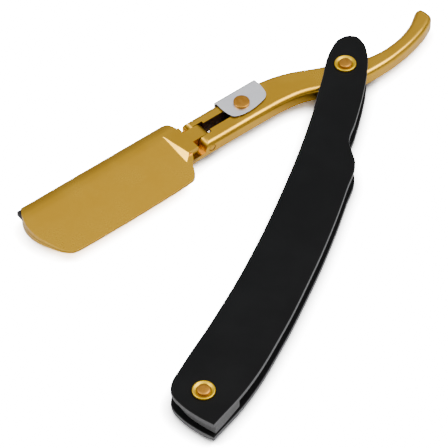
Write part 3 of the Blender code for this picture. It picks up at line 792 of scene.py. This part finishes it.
@dataclass
class Handle:
    """Two splayed scales, the block between them, and the rivets with their collars."""

    scale_thickness: float = 0.0015
    edge_break: float = 0.00022
    hole_radius: float = 0.00135
    rivet_radius: float = 0.00125
    head_radius: float = 0.0019
    head_height: float = 0.0010
    collar_radius: float = 0.0032
    collar_height: float = 0.0007
    head_clearance: float = 0.00008
    head_crown: tuple = (
        (0.45, 0.00001),
        (0.70, 0.00004),
        (0.88, 0.00010),
        (0.96, 0.00018),
        (1.0, 0.00030),
    )
    collar_dish: float = 0.0003
    collar_seat: float = 0.00004
    collar_facet_angle: float = 50.0
    collar_floor: tuple = ((0.00200, 0.0), (0.00202, 0.00008), (0.00206, 0.00012))
    collar_rim: tuple = (
        (0.00235, 0.00017),
        (0.00265, 0.00006),
        (0.00280, 0.00001),
        (0.00288, 0.0),
        (0.00298, 0.00002),
        (0.00308, 0.00007),
        (0.00316, 0.00014),
        (0.00320, 0.00023),
    )
    hole_reach: float = 0.002
    spacer_gap: float = 0.00018
    spacer_break: float = 0.0001
    outline: list = field(
        default_factory=lambda: [
            (-0.0010, 0.0119),
            (0.0023, 0.0102),
            (0.0045, 0.0070),
            (0.0068, -0.0003),
            (0.0085, -0.0103),
            (0.0095, -0.0203),
            (0.0101, -0.0283),
            (0.0121, -0.0317),
            (0.0141, -0.0353),
            (0.0148, -0.0453),
            (0.0153, -0.0620),
            (0.0149, -0.0803),
            (0.0136, -0.1003),
            (0.0109, -0.1195),
            (0.0062, -0.1350, "corner"),
            (0.0010, -0.1337),
            (-0.0045, -0.1314),
            (-0.0078, -0.1289),
            (-0.0090, -0.1258),
            (-0.0085, -0.1203),
            (-0.0055, -0.1005),
            (-0.0033, -0.0803),
            (-0.0023, -0.0550),
            (-0.0029, -0.0263),
            (-0.0046, -0.0083),
            (-0.0058, 0.0047),
            (-0.0045, 0.0098),
        ]
    )
    spacer_outline: list = field(
        default_factory=lambda: [
            (0.0093, -0.1230, "corner"),
            (0.0076, -0.1292),
            (0.0062, -0.1336, "corner"),
            (0.0015, -0.1322),
            (-0.0030, -0.1303),
            (-0.0058, -0.1283, "corner"),
            (-0.0058, -0.1235, "corner"),
            (0.0030, -0.1195, "corner"),
            (0.0076, -0.1224),
        ]
    )

    def half_gap(self, y: float) -> float:
        """Return half the gap between the scales at a place along the handle."""
        return GAP_AT_PIVOT / 2 + y * math.tan(SPLAY)

    def scale_frame(self, side: Side, y: float, depth: float) -> Matrix:
        """Find the frame of a piece that lies on a scale.

        Args:
            side: The scale's side.
            y: Where on the handle the piece is.
            depth: Its distance out from the scale's inner face.

        Returns:
            The frame, with Z pointing out of the handle.
        """
        sign = side.value
        turn = SPLAY if side is Side.FRONT else math.pi - SPLAY
        height = MIDDLE_HEIGHT + sign * (self.half_gap(y) + depth)
        return Matrix.Translation((0.0, y, height)) @ Matrix.Rotation(turn, 4, "X")

    def build_scale(self, side: Side, name: str) -> None:
        """Make one black plate.

        Args:
            side: Its side of the handle.
            name: Its name.
        """
        knots = self.outline
        if side is Side.REAR:
            knots = [(knot[0], -knot[1], *knot[2:]) for knot in reversed(self.outline)]
        half = self.scale_thickness / 2
        bm = plate(knots, -half, half)
        break_edges(bm, self.edge_break, segments=3)
        for y in (0.0, -RIVET_SPACING * side.value):
            hole = rod(self.hole_radius, (0.0, y, -self.hole_reach), (0.0, y, self.hole_reach))
            bm = carve(bm, hole, Carving.CUT)
        place = self.scale_frame(side, 0.0, half)
        finished(bm, f"{name}_plate", place, BLACK_COAT, Body.HANDLE, [name])

    def build_spacer(self) -> None:
        """Make the block between the scales' ends."""
        half = GAP_AT_END / 2 - self.spacer_gap
        bm = plate(self.spacer_outline, -half, half)
        break_edges(bm, self.spacer_break)
        place = Matrix.Translation((0.0, 0.0, MIDDLE_HEIGHT))
        finished(bm, "end_spacer_block", place, BLACK_COAT, Body.HANDLE, ["end_spacer"])

    def build_rivet(self, name: str, y: float) -> None:
        """Make a rivet with a low crowned head at each end.

        Args:
            name: The rivet's name.
            y: Where on the handle it is.
        """
        top = self.half_gap(y) + self.scale_thickness + self.head_height
        under = self.half_gap(y) + self.scale_thickness + self.collar_dish + self.head_clearance
        wide = self.head_radius
        half = [(wide * share, top - drop) for share, drop in self.head_crown]
        half += [(wide, under), (self.rivet_radius, under)]
        profile = [(0.0, top), *half, *[(r, -z) for r, z in reversed(half)], (0.0, -top)]
        place = Matrix.Translation((0.0, y, MIDDLE_HEIGHT))
        finished(turned(profile), f"{name}_spool", place, RIVET_GOLD, Body.HANDLE, [name])

    def build_collar(self, name: str, side: Side, y: float) -> None:
        """Make a cup washer with a rolled rim.

        Args:
            name: The collar's name.
            side: Its side of the handle.
            y: Where on the handle it is.
        """
        profile = [(radius, self.collar_dish + rise) for radius, rise in self.collar_floor]
        profile += [(radius, self.collar_height - drop) for radius, drop in self.collar_rim]
        profile += [
            (self.collar_radius, self.collar_seat),
            (self.hole_radius, self.collar_seat),
            (self.hole_radius, self.collar_dish),
        ]
        place = self.scale_frame(side, y, self.scale_thickness)
        bm = turned(profile, ring=True)
        finished(bm, f"{name}_cup", place, COLLAR_GOLD, Body.HANDLE, [name], self.collar_facet_angle)

    def build(self) -> None:
        """Make every piece of the handle."""
        self.build_scale(Side.FRONT, "front_scale")
        self.build_scale(Side.REAR, "rear_scale")
        self.build_spacer()
        for place, y in (("pivot", 0.0), ("end", -RIVET_SPACING)):
            self.build_rivet(f"{place}_rivet", y)
            self.build_collar(f"{place}_collar_front", Side.FRONT, y)
            self.build_collar(f"{place}_collar_rear", Side.REAR, y)
        dress("pivot_washer_front", SATIN_STEEL)
        dress("pivot_washer_rear", SATIN_STEEL)


# --- Blade holder ---------------------------------------------------------------------------------


@dataclass
class BladeHolder:
    """Tail, slotted bar and lower jaw, with the upper jaw that turns on the hinge pin."""

    thickness: float = 0.0047
    front_round: float = 0.0016
    rear_round: float = 0.0006
    near_y: float = 0.0015
    far_y: float = 0.0126
    hinge_x: float = -0.0480
    ear_radius: float = 0.00235
    pin_hole: float = 0.00100
    pin_recess: float = 0.00115
    pin_recess_depth: float = 0.00025
    pin_radius: float = 0.00095
    pin_proud: float = 0.00004
    pin_dome: tuple = ((0.6, 0.00003), (0.9, 0.0001), (1.0, 0.0002))
    pivot_hole: float = 0.00131
    overrun: float = 0.001
    bore_y: tuple = (-0.001, 0.015)
    wall_lean: float = 0.2
    slot: tuple = (-0.0505, -0.0455, 0.00505, 0.00980)
    guide: tuple = (-0.0460, -0.0285, 0.0060, 0.0090)
    tongue: tuple = (0.00520, 0.00965)
    tongue_root: float = 0.0003
    tongue_hole: float = 0.00104
    tongue_bore_y: tuple = (0.004, 0.011)
    knuckle_play: float = 0.00005
    shoulder_x: float = -0.0522
    neck_y: tuple = (0.0026, 0.0120)
    neck_front_x: float = -0.0585
    neck_flare_x: float = -0.0555
    neck_flare: float = 0.0024
    neck_break: float = 0.00008
    lower_neck_rear_x: float = -0.0490
    lower_neck_top: float = -0.0005
    ramp_corner: tuple = (-0.0559, 0.0030)
    ramp_along: tuple = (0.0018, -0.0088, 0.0)
    ramp_down: tuple = (-0.0020, 0.00107)
    jaw_face: float = 0.00012
    head_blank: float = 0.003
    head_span_x: tuple = (-0.112, -0.050)
    head_break: float = 0.00012
    edge_y: float = -0.0054
    crest_y: float = 0.0120
    spine_y: float = 0.0162
    edge_half: float = 0.00045
    crest_half: float = 0.00233
    crest_round: float = 0.020
    crest_cuts: int = 7
    spine_cuts: int = 9
    spine_start: float = 0.7
    spine_spare: float = 0.5
    facet_angle: float = 25.0
    strip_half: float = 0.0009
    recess_half: float = 0.0010
    strip_y: float = 0.0125
    strip_x: tuple = (-0.1064, -0.0600)
    strip_lip: float = 0.0001
    strip_play: float = 0.0001
    strip_break: float = 0.00015
    stud_radius: float = 0.0009
    stud_y: float = 0.0035
    stud_x: tuple = (-0.0700, -0.0960)
    stud_play: float = 0.00005
    stud_bore: float = 0.001
    pocket_play: float = 0.0002
    pocket_top: float = 0.0007

    @property
    def bar_front_x(self) -> float:
        """Return where the ears end."""
        return self.hinge_x - self.ear_radius

    @property
    def bar_outline(self) -> list:
        """Return the outline of the tail and bar."""
        return [
            (self.bar_front_x, self.near_y, "corner"),
            (-0.0400, self.near_y, "corner"),
            (-0.0290, 0.00145),
            (-0.0210, 0.0011),
            (-0.0150, 0.0001),
            (-0.0080, -0.0027),
            (0.0000, -0.0050),
            (0.0080, -0.0057),
            (0.0170, -0.0052),
            (0.0270, -0.0030),
            (0.0310, -0.0014),
            (0.0333, 0.0000),
            (0.0342, 0.0011),
            (0.0343, 0.0026),
            (0.0341, 0.0043),
            (0.0335, 0.0053),
            (0.0325, 0.0056),
            (0.0314, 0.0053),
            (0.0296, 0.0041),
            (0.0253, 0.0017),
            (0.0175, -0.0002),
            (0.0110, -0.0002),
            (0.0050, 0.0012),
            (-0.0048, 0.0057),
            (-0.0148, 0.0103),
            (-0.0220, 0.0120),
            (-0.0300, 0.01245),
            (-0.0400, self.far_y, "corner"),
            (self.bar_front_x, self.far_y, "corner"),
        ]

    @property
    def head_outline(self) -> list:
        """Return the outline of the head."""
        return [
            (-0.0550, 0.0015),
            (-0.0566, -0.0004),
            (-0.0590, -0.0044),
            (-0.0604, -0.0050),
            (-0.1010, self.edge_y),
            (-0.1026, -0.0048),
            (-0.1062, 0.0010),
            (-0.1078, 0.0075),
            (-0.1070, 0.0124),
            (-0.1049, self.spine_y, "corner"),
            (-0.0560, self.spine_y),
            (-0.0540, 0.0153),
            (-0.0530, 0.0130),
            (-0.0525, 0.0110),
        ]

    def build_head(self, side: int) -> bmesh.types.BMesh:
        """Make one half of the head.

        Args:
            side: 1 for the upper half and -1 for the lower half.

        Returns:
            The half head.
        """
        low, high = sorted((side * self.jaw_face, side * self.head_blank))
        bm = plate(self.head_outline, low, high)
        rise = self.crest_half - self.edge_half
        run = self.crest_y - self.edge_y
        slice_off(bm, Vector((0.0, self.edge_y, side * self.edge_half)), Vector((0.0, -rise, side * run)))
        width = self.spine_y - self.crest_y
        drop = self.crest_half - self.recess_half - self.strip_lip
        spread = self.spine_cuts + self.spine_spare
        first = math.pi / 2 * self.spine_start / spread
        self.soften_crest(bm, side, math.atan2(rise, run), math.atan2(drop * math.sin(first), width))
        for step in range(self.spine_cuts):
            turn = math.pi / 2 * (step + self.spine_start) / spread
            y = self.crest_y + width * math.sin(turn)
            z = self.crest_half - drop * (1.0 - math.cos(turn))
            normal = Vector((0.0, drop * math.sin(turn), side * width * math.cos(turn)))
            slice_off(bm, Vector((0.0, y, side * z)), normal)
        break_edges(bm, self.head_break, segments=2, least=50.0)
        recess = brick(
            (self.head_span_x[0], self.strip_y, -self.recess_half),
            (self.head_span_x[1], self.spine_y + self.overrun, self.recess_half),
        )
        return carve(bm, recess, Carving.CUT)

    def soften_crest(self, bm: bmesh.types.BMesh, side: int, slope: float, spine: float) -> None:
        """Round the crest between the head's slope and its spine.

        Args:
            bm: The half head.
            side: 1 for the upper half and -1 for the lower half.
            slope: How far the slope leans towards the edge.
            spine: How far the spine's first facet leans the other way.
        """
        lean = (spine - slope) / 2
        reach = self.crest_round / math.cos((spine + slope) / 2)
        centre_y = self.crest_y - reach * math.sin(lean)
        centre_z = self.crest_half - reach * math.cos(lean)
        for step in range(1, self.crest_cuts):
            turn = -slope + (slope + spine) * step / self.crest_cuts
            y = centre_y + self.crest_round * math.sin(turn)
            z = centre_z + self.crest_round * math.cos(turn)
            slice_off(bm, Vector((0.0, y, side * z)), Vector((0.0, math.sin(turn), side * math.cos(turn))))

    def build_neck(self, side: int, low: float, high: float, near: float) -> bmesh.types.BMesh:
        """Make the neck with its ramp down to the head.

        Args:
            side: 1 for the upper jaw and -1 for the lower jaw.
            low: Height of its lower face.
            high: Height of its upper face.
            near: Where its near side is.

        Returns:
            The neck.
        """
        rear = self.shoulder_x if side > 0 else self.lower_neck_rear_x
        far = self.neck_y[1]
        knots = [
            (rear, near, "corner"),
            (rear, far, "corner"),
            (self.neck_front_x, far, "corner"),
            (self.neck_front_x, near - self.neck_flare, "corner"),
            (self.neck_flare_x, near, "corner"),
        ]
        bm = plate(knots, low, high)
        down = Vector((self.ramp_down[0], 0.0, -side * self.ramp_down[1]))
        normal = Vector(self.ramp_along).cross(down)
        if normal.z * side < 0.0:
            normal.negate()
        slice_off(bm, Vector((*self.ramp_corner, side * self.thickness / 2)), normal)
        return bm

    def build_shank(self) -> None:
        """Make the tail, bar, ears and lower jaw as one piece."""
        half = self.thickness / 2
        bm = plate(self.bar_outline, -half + self.rear_round, half - self.front_round)
        crown_face(bm, 1, self.front_round)
        crown_face(bm, -1, self.rear_round, facets=4)
        neck = self.build_neck(-1, -half, self.lower_neck_top, self.near_y)
        edges = [
            edge
            for edge in neck.edges
            if all(abs(vert.co.z + half) < WELD for vert in edge.verts)
            and abs(edge.verts[0].co.y - edge.verts[1].co.y) < WELD
        ]
        bmesh.ops.bevel(
            neck,
            geom=edges,
            offset=self.rear_round,
            offset_type="OFFSET",
            affect="EDGES",
            segments=4,
            profile=0.5,
            material=-1,
        )
        bm = carve(bm, neck, Carving.JOIN)
        bm = carve(bm, self.build_head(-1), Carving.JOIN)
        for tool in self.shank_tools():
            bm = carve(bm, tool, Carving.CUT)
        # The slot walls get a near-black gold as painted shade.
        self.mark_slots(bm)
        body = Body.BLADE_HOLDER
        finished(bm, "shank_body", BLADE_FRAME, SATIN_GOLD, body, ["shank"], self.facet_angle, SLOT_PAINTED_SHADE_GOLD)

    def mark_slots(self, bm: bmesh.types.BMesh) -> None:
        """Mark the walls of the slots for the second material, which paints shade on them."""
        bm.normal_update()
        for low_x, high_x, low_y, high_y in (self.slot, self.guide):
            for face in bm.faces:
                centre = face.calc_center_median()
                along = low_x - WELD < centre.x < high_x + WELD
                across = low_y - WELD < centre.y < high_y + WELD
                if along and across and abs(face.normal.z) < self.wall_lean:
                    face.material_index = 1

    def ear_hollow(self) -> bmesh.types.BMesh:
        """Make the block that leaves the ears' fronts round about the pin."""
        radius = self.ear_radius
        low, high = self.bore_y
        block = brick(
            (self.hinge_x - radius - self.overrun, low, 0.0),
            (self.hinge_x, high, radius + self.overrun),
        )
        start = (self.hinge_x, low - self.overrun, 0.0)
        core = rod(radius, start, (self.hinge_x, high + self.overrun, 0.0), sides=96)
        return carve(block, core, Carving.CUT)

    def shank_tools(self) -> list:
        """Return the solids that cut the shank."""
        reach = self.thickness
        tools = [self.ear_hollow()]
        for low_x, high_x, low_y, high_y in (self.slot, self.guide):
            tools.append(brick((low_x, low_y, -reach), (high_x, high_y, reach)))
        low, high = self.bore_y
        near = self.near_y + self.pin_recess_depth
        far = self.far_y - self.pin_recess_depth
        for radius, start, end in (
            (self.pin_hole, low, high),
            (self.pin_recess, low, near),
            (self.pin_recess, far, high),
        ):
            tools.append(rod(radius, (self.hinge_x, start, 0.0), (self.hinge_x, end, 0.0)))
        tools.append(rod(self.pivot_hole, (0.0, 0.0, -reach), (0.0, 0.0, reach)))
        tools += [self.stud_bore_rod(x, self.stud_play, self.stud_bore) for x in self.stud_x]
        return tools

    def stud_bore_rod(self, x: float, play: float, top: float) -> bmesh.types.BMesh:
        """Make the rod that leaves room for a stud.

        Args:
            x: The stud's place along the head.
            play: The room left round it.
            top: How high the rod reaches.

        Returns:
            The rod.
        """
        return rod(self.stud_radius + play, (x, self.stud_y, -self.stud_bore), (x, self.stud_y, top))

    def build_upper_jaw(self) -> None:
        """Make the upper jaw with its neck and tongue."""
        half = self.thickness / 2
        radius = self.ear_radius - self.knuckle_play
        neck = self.build_neck(1, self.jaw_face, half, self.neck_y[0])
        break_edges(neck, self.neck_break, segments=2, least=60.0)
        tongue = brick(
            (self.shoulder_x - self.tongue_root, self.tongue[0], -self.tongue_root),
            (self.hinge_x, self.tongue[1], radius),
        )
        knuckle = rod(radius, (self.hinge_x, self.tongue[0], 0.0), (self.hinge_x, self.tongue[1], 0.0), 96)
        bm = carve(self.build_head(1), neck, Carving.JOIN)
        bm = carve(bm, carve(tongue, knuckle, Carving.JOIN), Carving.JOIN)
        start, end = ((self.hinge_x, y, 0.0) for y in self.tongue_bore_y)
        bm = carve(bm, rod(self.tongue_hole, start, end), Carving.CUT)
        for x in self.stud_x:
            bm = carve(bm, self.stud_bore_rod(x, self.pocket_play, self.pocket_top), Carving.CUT)
        body = Body.UPPER_JAW
        finished(bm, "upper_jaw_body", BLADE_FRAME, SATIN_GOLD, body, ["upper_jaw"], self.facet_angle)

    def build_strip(self) -> None:
        """Make the black strip in the spine."""
        bm = brick(
            (self.strip_x[0], self.strip_y + self.strip_play, -self.strip_half),
            (self.strip_x[1], self.spine_y, self.strip_half),
        )
        break_edges(bm, self.strip_break, segments=3)
        finished(bm, "backing_strip_bar", BLADE_FRAME, BLACK_RUBBER, Body.BLADE_HOLDER, ["backing_strip"])

    def build_pin(self) -> None:
        """Make the hinge pin with domed ends."""
        end = (self.far_y - self.near_y) / 2 + self.pin_proud
        profile = [(0.0, end)]
        profile += [(self.pin_radius * share, end - drop) for share, drop in self.pin_dome]
        profile += [(radius, -height) for radius, height in reversed(profile)]
        lay = Matrix.Translation((self.hinge_x, (self.far_y + self.near_y) / 2, 0.0))
        lay = lay @ Matrix.Rotation(math.pi / 2, 4, "X")
        place = BLADE_FRAME @ lay
        body = Body.BLADE_HOLDER
        finished(turned(profile), "jaw_hinge_pin_rod", place, SATIN_GOLD, body, ["jaw_hinge_pin"])

    def build(self) -> None:
        """Make every piece of the blade holder."""
        self.build_shank()
        self.build_upper_jaw()
        self.build_strip()
        self.build_pin()
        dress("blade_stud_heel", SATIN_STEEL)
        dress("blade_stud_tip", SATIN_STEEL)


# --- Slider ---------------------------------------------------------------------------------------


@dataclass
class Slider:
    """Folded sheet on the bar with the rivet that carries the thumb disc."""

    sheet: float = 0.00045
    bar_half: float = 0.00235
    clearance: float = 0.0001
    bar_far_y: float = 0.0126
    rear_x: float = -0.0238
    front_x: float = -0.0383
    near_y: float = 0.00482
    bend: float = 0.0009
    rivet_x: float = -0.0323
    rivet_y: float = 0.0079
    rivet_radius: float = 0.0009
    head_radius: float = 0.0024
    head_height: float = 0.00075
    disc_crown: tuple = ((0.86, 0.0), (0.94, 0.00003), (0.985, 0.00010), (1.0, 0.00020))
    play: float = 0.00006
    tail_gap: float = 0.00042
    tail_height: float = 0.0004
    tail_step: float = 0.00028
    tail_shares: tuple = (1.7, 1.5)
    overrun: float = 0.001
    near_overruns: tuple = (0.004, 0.006)
    stencil_y: float = 0.0150
    stencil_half: float = 0.01
    bore_half: float = 0.006
    cut_break: float = 0.00006
    cut_lean: float = 0.3

    @property
    def face(self) -> float:
        """Return the height of the sheet's outer face."""
        return self.bar_half + self.clearance + self.sheet

    def build_clip(self) -> None:
        """Make the folded sheet."""
        outer_y = self.bar_far_y + 2 * self.clearance + self.sheet
        block = brick(
            (self.front_x - self.overrun, self.near_y - self.near_overruns[0], -self.face),
            (self.rear_x + self.overrun, outer_y, self.face),
        )
        past = 2 * self.overrun
        bar = brick(
            (self.front_x - past, self.near_y - self.near_overruns[1], -self.face + self.sheet),
            (self.rear_x + past, outer_y - self.sheet, self.face - self.sheet),
        )
        for solid, width in ((block, self.bend), (bar, self.bend - self.sheet)):
            folds = [edge for edge in solid.edges if all(vert.co.y > self.bar_far_y for vert in edge.verts)]
            folds = [edge for edge in folds if abs(edge.verts[0].co.x - edge.verts[1].co.x) > self.sheet]
            bmesh.ops.bevel(
                solid,
                geom=folds,
                offset=width,
                offset_type="OFFSET",
                affect="EDGES",
                segments=8,
                profile=0.5,
                material=-1,
            )
        bm = carve(block, bar, Carving.CUT)
        knots = [
            (self.front_x, self.stencil_y, "corner"),
            (self.rear_x, self.stencil_y, "corner"),
            (self.rear_x, 0.0085),
            (self.rear_x - 0.0010, 0.0060),
            (self.rear_x - 0.0033, self.near_y),
            (self.front_x + 0.0016, self.near_y),
            (self.front_x + 0.0006, self.near_y + 0.0011),
        ]
        bm = carve(bm, plate(knots, -self.stencil_half, self.stencil_half), Carving.KEEP)
        start, end = ((self.rivet_x, self.rivet_y, z) for z in (-self.bore_half, self.bore_half))
        bm = carve(bm, rod(self.rivet_radius + self.play, start, end), Carving.CUT)
        break_edges(bm, self.cut_break, segments=2, least=60.0)
        # The cut sides get dark steel as a painted shadow.
        self.mark_cut_edges(bm)
        body = Body.SLIDER
        finished(bm, "slider_sheet", BLADE_FRAME, SATIN_STEEL, body, ["slider_clip"], inside=CLIP_EDGE_PAINTED_SHADOW)

    def mark_cut_edges(self, bm: bmesh.types.BMesh) -> None:
        """Mark the sheet's cut sides, but not its fold, for the second material, which paints a shadow on
        them.
        """
        bm.normal_update()
        for face in bm.faces:
            before_fold = face.calc_center_median().y < self.bar_far_y
            if before_fold and abs(face.normal.z) < self.cut_lean:
                face.material_index = 1

    def build_rivet(self) -> None:
        """Make the rivet with its thumb disc."""
        top = self.face + self.play
        high = top + self.head_height
        wide = self.head_radius
        low = -(self.face + self.tail_gap)
        pin = self.rivet_radius
        tail, tip = (pin * share for share in self.tail_shares)
        profile = [(0.0, high)]
        profile += [(wide * share, high - drop) for share, drop in self.disc_crown]
        profile += [
            (wide, top),
            (pin, top),
            (pin, low),
            (tail, low),
            (tail, low - self.tail_step),
            (tip, low - self.tail_height),
            (0.0, low - self.tail_height),
        ]
        place = BLADE_FRAME @ Matrix.Translation((self.rivet_x, self.rivet_y, 0.0))
        finished(turned(profile), "slider_disc", place, RIVET_GOLD, Body.SLIDER, ["slider_rivet"])

    def build(self) -> None:
        """Make every piece of the slider."""
        self.build_clip()
        self.build_rivet()
        dress("slider_washer", SATIN_STEEL)


# --- Studio ---------------------------------------------------------------------------------------


@dataclass(frozen=True)
class SoftLight:
    """A soft light that looks at the razor."""

    name: str
    place: tuple
    width: float
    watts: float


@dataclass
class Studio:
    """Pale floor, soft lights and the camera."""

    floor_size: float = 6.0
    floor_cells: int = 4
    floor_rough: float = 0.9
    floor_gloss: float = 0.1
    floor_tone: float = 0.7
    floor_seen: float = 12.0
    floor_shade_reach: float = 0.0042
    floor_shade_power: float = 1.6
    low_sky: float = 0.50
    high_sky: float = 1.0
    sky_fade: tuple = (0.30, 0.78)
    lights: tuple = (
        SoftLight("right", (0.46, 0.14, 0.97), 0.66, 14.0),
        SoftLight("left", (-0.58, -0.30, 0.91), 0.42, 7.0),
    )
    target: tuple = (-0.01358, -0.06914, 0.00980)
    azimuth: float = math.radians(18.94)
    elevation: float = math.radians(49.7)
    distance: float = 0.8333
    lens: float = 241.07
    sensor: float = 36.0
    clip: tuple = (0.05, 20.0)

    def floor_material(self) -> bpy.types.Material:
        """Build the floor's material.

        The camera sees it lighter than reflections do, with a soft shade where the razor is close.

        Returns:
            The material.
        """
        mat = bpy.data.materials.new("pale floor")
        mat.use_nodes = True
        tree = mat.node_tree
        shader = tree.nodes["Principled BSDF"]
        shader.inputs["Roughness"].default_value = self.floor_rough
        shader.inputs["Specular IOR Level"].default_value = self.floor_gloss
        ray = add_node(tree, "ShaderNodeLightPath")
        shade = add_node(tree, "ShaderNodeAmbientOcclusion")
        shade.inputs["Color"].default_value = (*(self.floor_seen,) * 3, 1.0)
        shade.inputs["Distance"].default_value = self.floor_shade_reach
        power = add_node(tree, "ShaderNodeMath", operation="POWER")
        power.inputs[1].default_value = self.floor_shade_power
        deep = add_node(tree, "ShaderNodeMix", data_type="RGBA", blend_type="MULTIPLY")
        deep.inputs["Factor"].default_value = 1.0
        tone = add_node(tree, "ShaderNodeMix", data_type="RGBA")
        tone.inputs["A"].default_value = (*(self.floor_tone,) * 3, 1.0)
        tree.links.new(shade.outputs["AO"], power.inputs[0])
        tree.links.new(shade.outputs["Color"], deep.inputs["A"])
        tree.links.new(power.outputs["Value"], deep.inputs["B"])
        tree.links.new(deep.outputs["Result"], tone.inputs["B"])
        tree.links.new(ray.outputs["Is Camera Ray"], tone.inputs["Factor"])
        tree.links.new(tone.outputs["Result"], shader.inputs["Base Color"])
        return mat

    def build_floor(self) -> None:
        """Lay the pale floor."""
        bm = bmesh.new()
        cells = self.floor_cells
        bmesh.ops.create_grid(bm, x_segments=cells, y_segments=cells, size=self.floor_size / 2)
        mesh = bpy.data.meshes.new("floor")
        bm.to_mesh(mesh)
        bm.free()
        mesh.materials.append(self.floor_material())
        floor = bpy.data.objects.new("floor", mesh)
        bpy.context.scene.collection.objects.link(floor)
        floor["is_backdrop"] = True

    def build_light(self, light: SoftLight) -> None:
        """Hang a soft light.

        Args:
            light: The light to hang.
        """
        data = bpy.data.lights.new(light.name, "AREA")
        data.shape = "RECTANGLE"
        data.size = light.width
        data.size_y = light.width
        data.energy = light.watts
        lamp = bpy.data.objects.new(light.name, data)
        bpy.context.scene.collection.objects.link(lamp)
        lamp.location = light.place
        aim = Vector(self.target) - Vector(light.place)
        lamp.rotation_euler = aim.to_track_quat("-Z", "Y").to_euler()

    def build_world(self) -> None:
        """Fill the surroundings with white light that grows from the horizon to overhead."""
        world = bpy.data.worlds.new("studio")
        bpy.context.scene.world = world
        world.use_nodes = True
        tree = world.node_tree
        back = tree.nodes["Background"]
        back.inputs["Color"].default_value = (1.0, 1.0, 1.0, 1.0)
        place = add_node(tree, "ShaderNodeTexCoord")
        split = add_node(tree, "ShaderNodeSeparateXYZ")
        fade = add_node(tree, "ShaderNodeMapRange", interpolation_type="SMOOTHSTEP")
        fade.inputs["From Min"].default_value = self.sky_fade[0]
        fade.inputs["From Max"].default_value = self.sky_fade[1]
        fade.inputs["To Min"].default_value = self.low_sky
        fade.inputs["To Max"].default_value = self.high_sky
        tree.links.new(place.outputs["Generated"], split.inputs["Vector"])
        tree.links.new(split.outputs["Z"], fade.inputs["Value"])
        tree.links.new(fade.outputs["Result"], back.inputs["Strength"])

    def build_camera(self) -> None:
        """Set up the camera."""
        data = bpy.data.cameras.new("camera")
        data.lens = self.lens
        data.sensor_width = self.sensor
        data.clip_start, data.clip_end = self.clip
        camera = bpy.data.objects.new("camera", data)
        bpy.context.scene.collection.objects.link(camera)
        flat = math.cos(self.elevation)
        look = Vector(
            (-math.sin(self.azimuth) * flat, math.cos(self.azimuth) * flat, -math.sin(self.elevation))
        )
        camera.location = Vector(self.target) - look * self.distance
        camera.rotation_euler = look.to_track_quat("-Z", "Y").to_euler()
        bpy.context.scene.camera = camera

    def build(self) -> None:
        """Set up floor, surroundings, lights and camera."""
        self.build_floor()
        self.build_world()
        for light in self.lights:
            self.build_light(light)
        self.build_camera()


def note_size(sizes: dict, moment: str) -> None:
    """Keep the model's extent at one moment.

    Args:
        sizes: Where the extents are kept.
        moment: Name of the moment.
    """
    low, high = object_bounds()
    sizes[moment] = [[float(value) for value in low], [float(value) for value in high]]


def main() -> None:
    """Build the razor and its studio in order."""
    logging.basicConfig(level=logging.INFO, format="%(name)s: %(message)s")
    sizes: dict = {}
    note_size(sizes, "frame")
    mottle_group()
    scratch_group()
    side_sheen_group()
    Handle().build()
    BladeHolder().build()
    Slider().build()
    Studio().build()
    note_size(sizes, "visual")
    LOG.info("size %s", sizes)


if __name__ == "__main__":
    main()
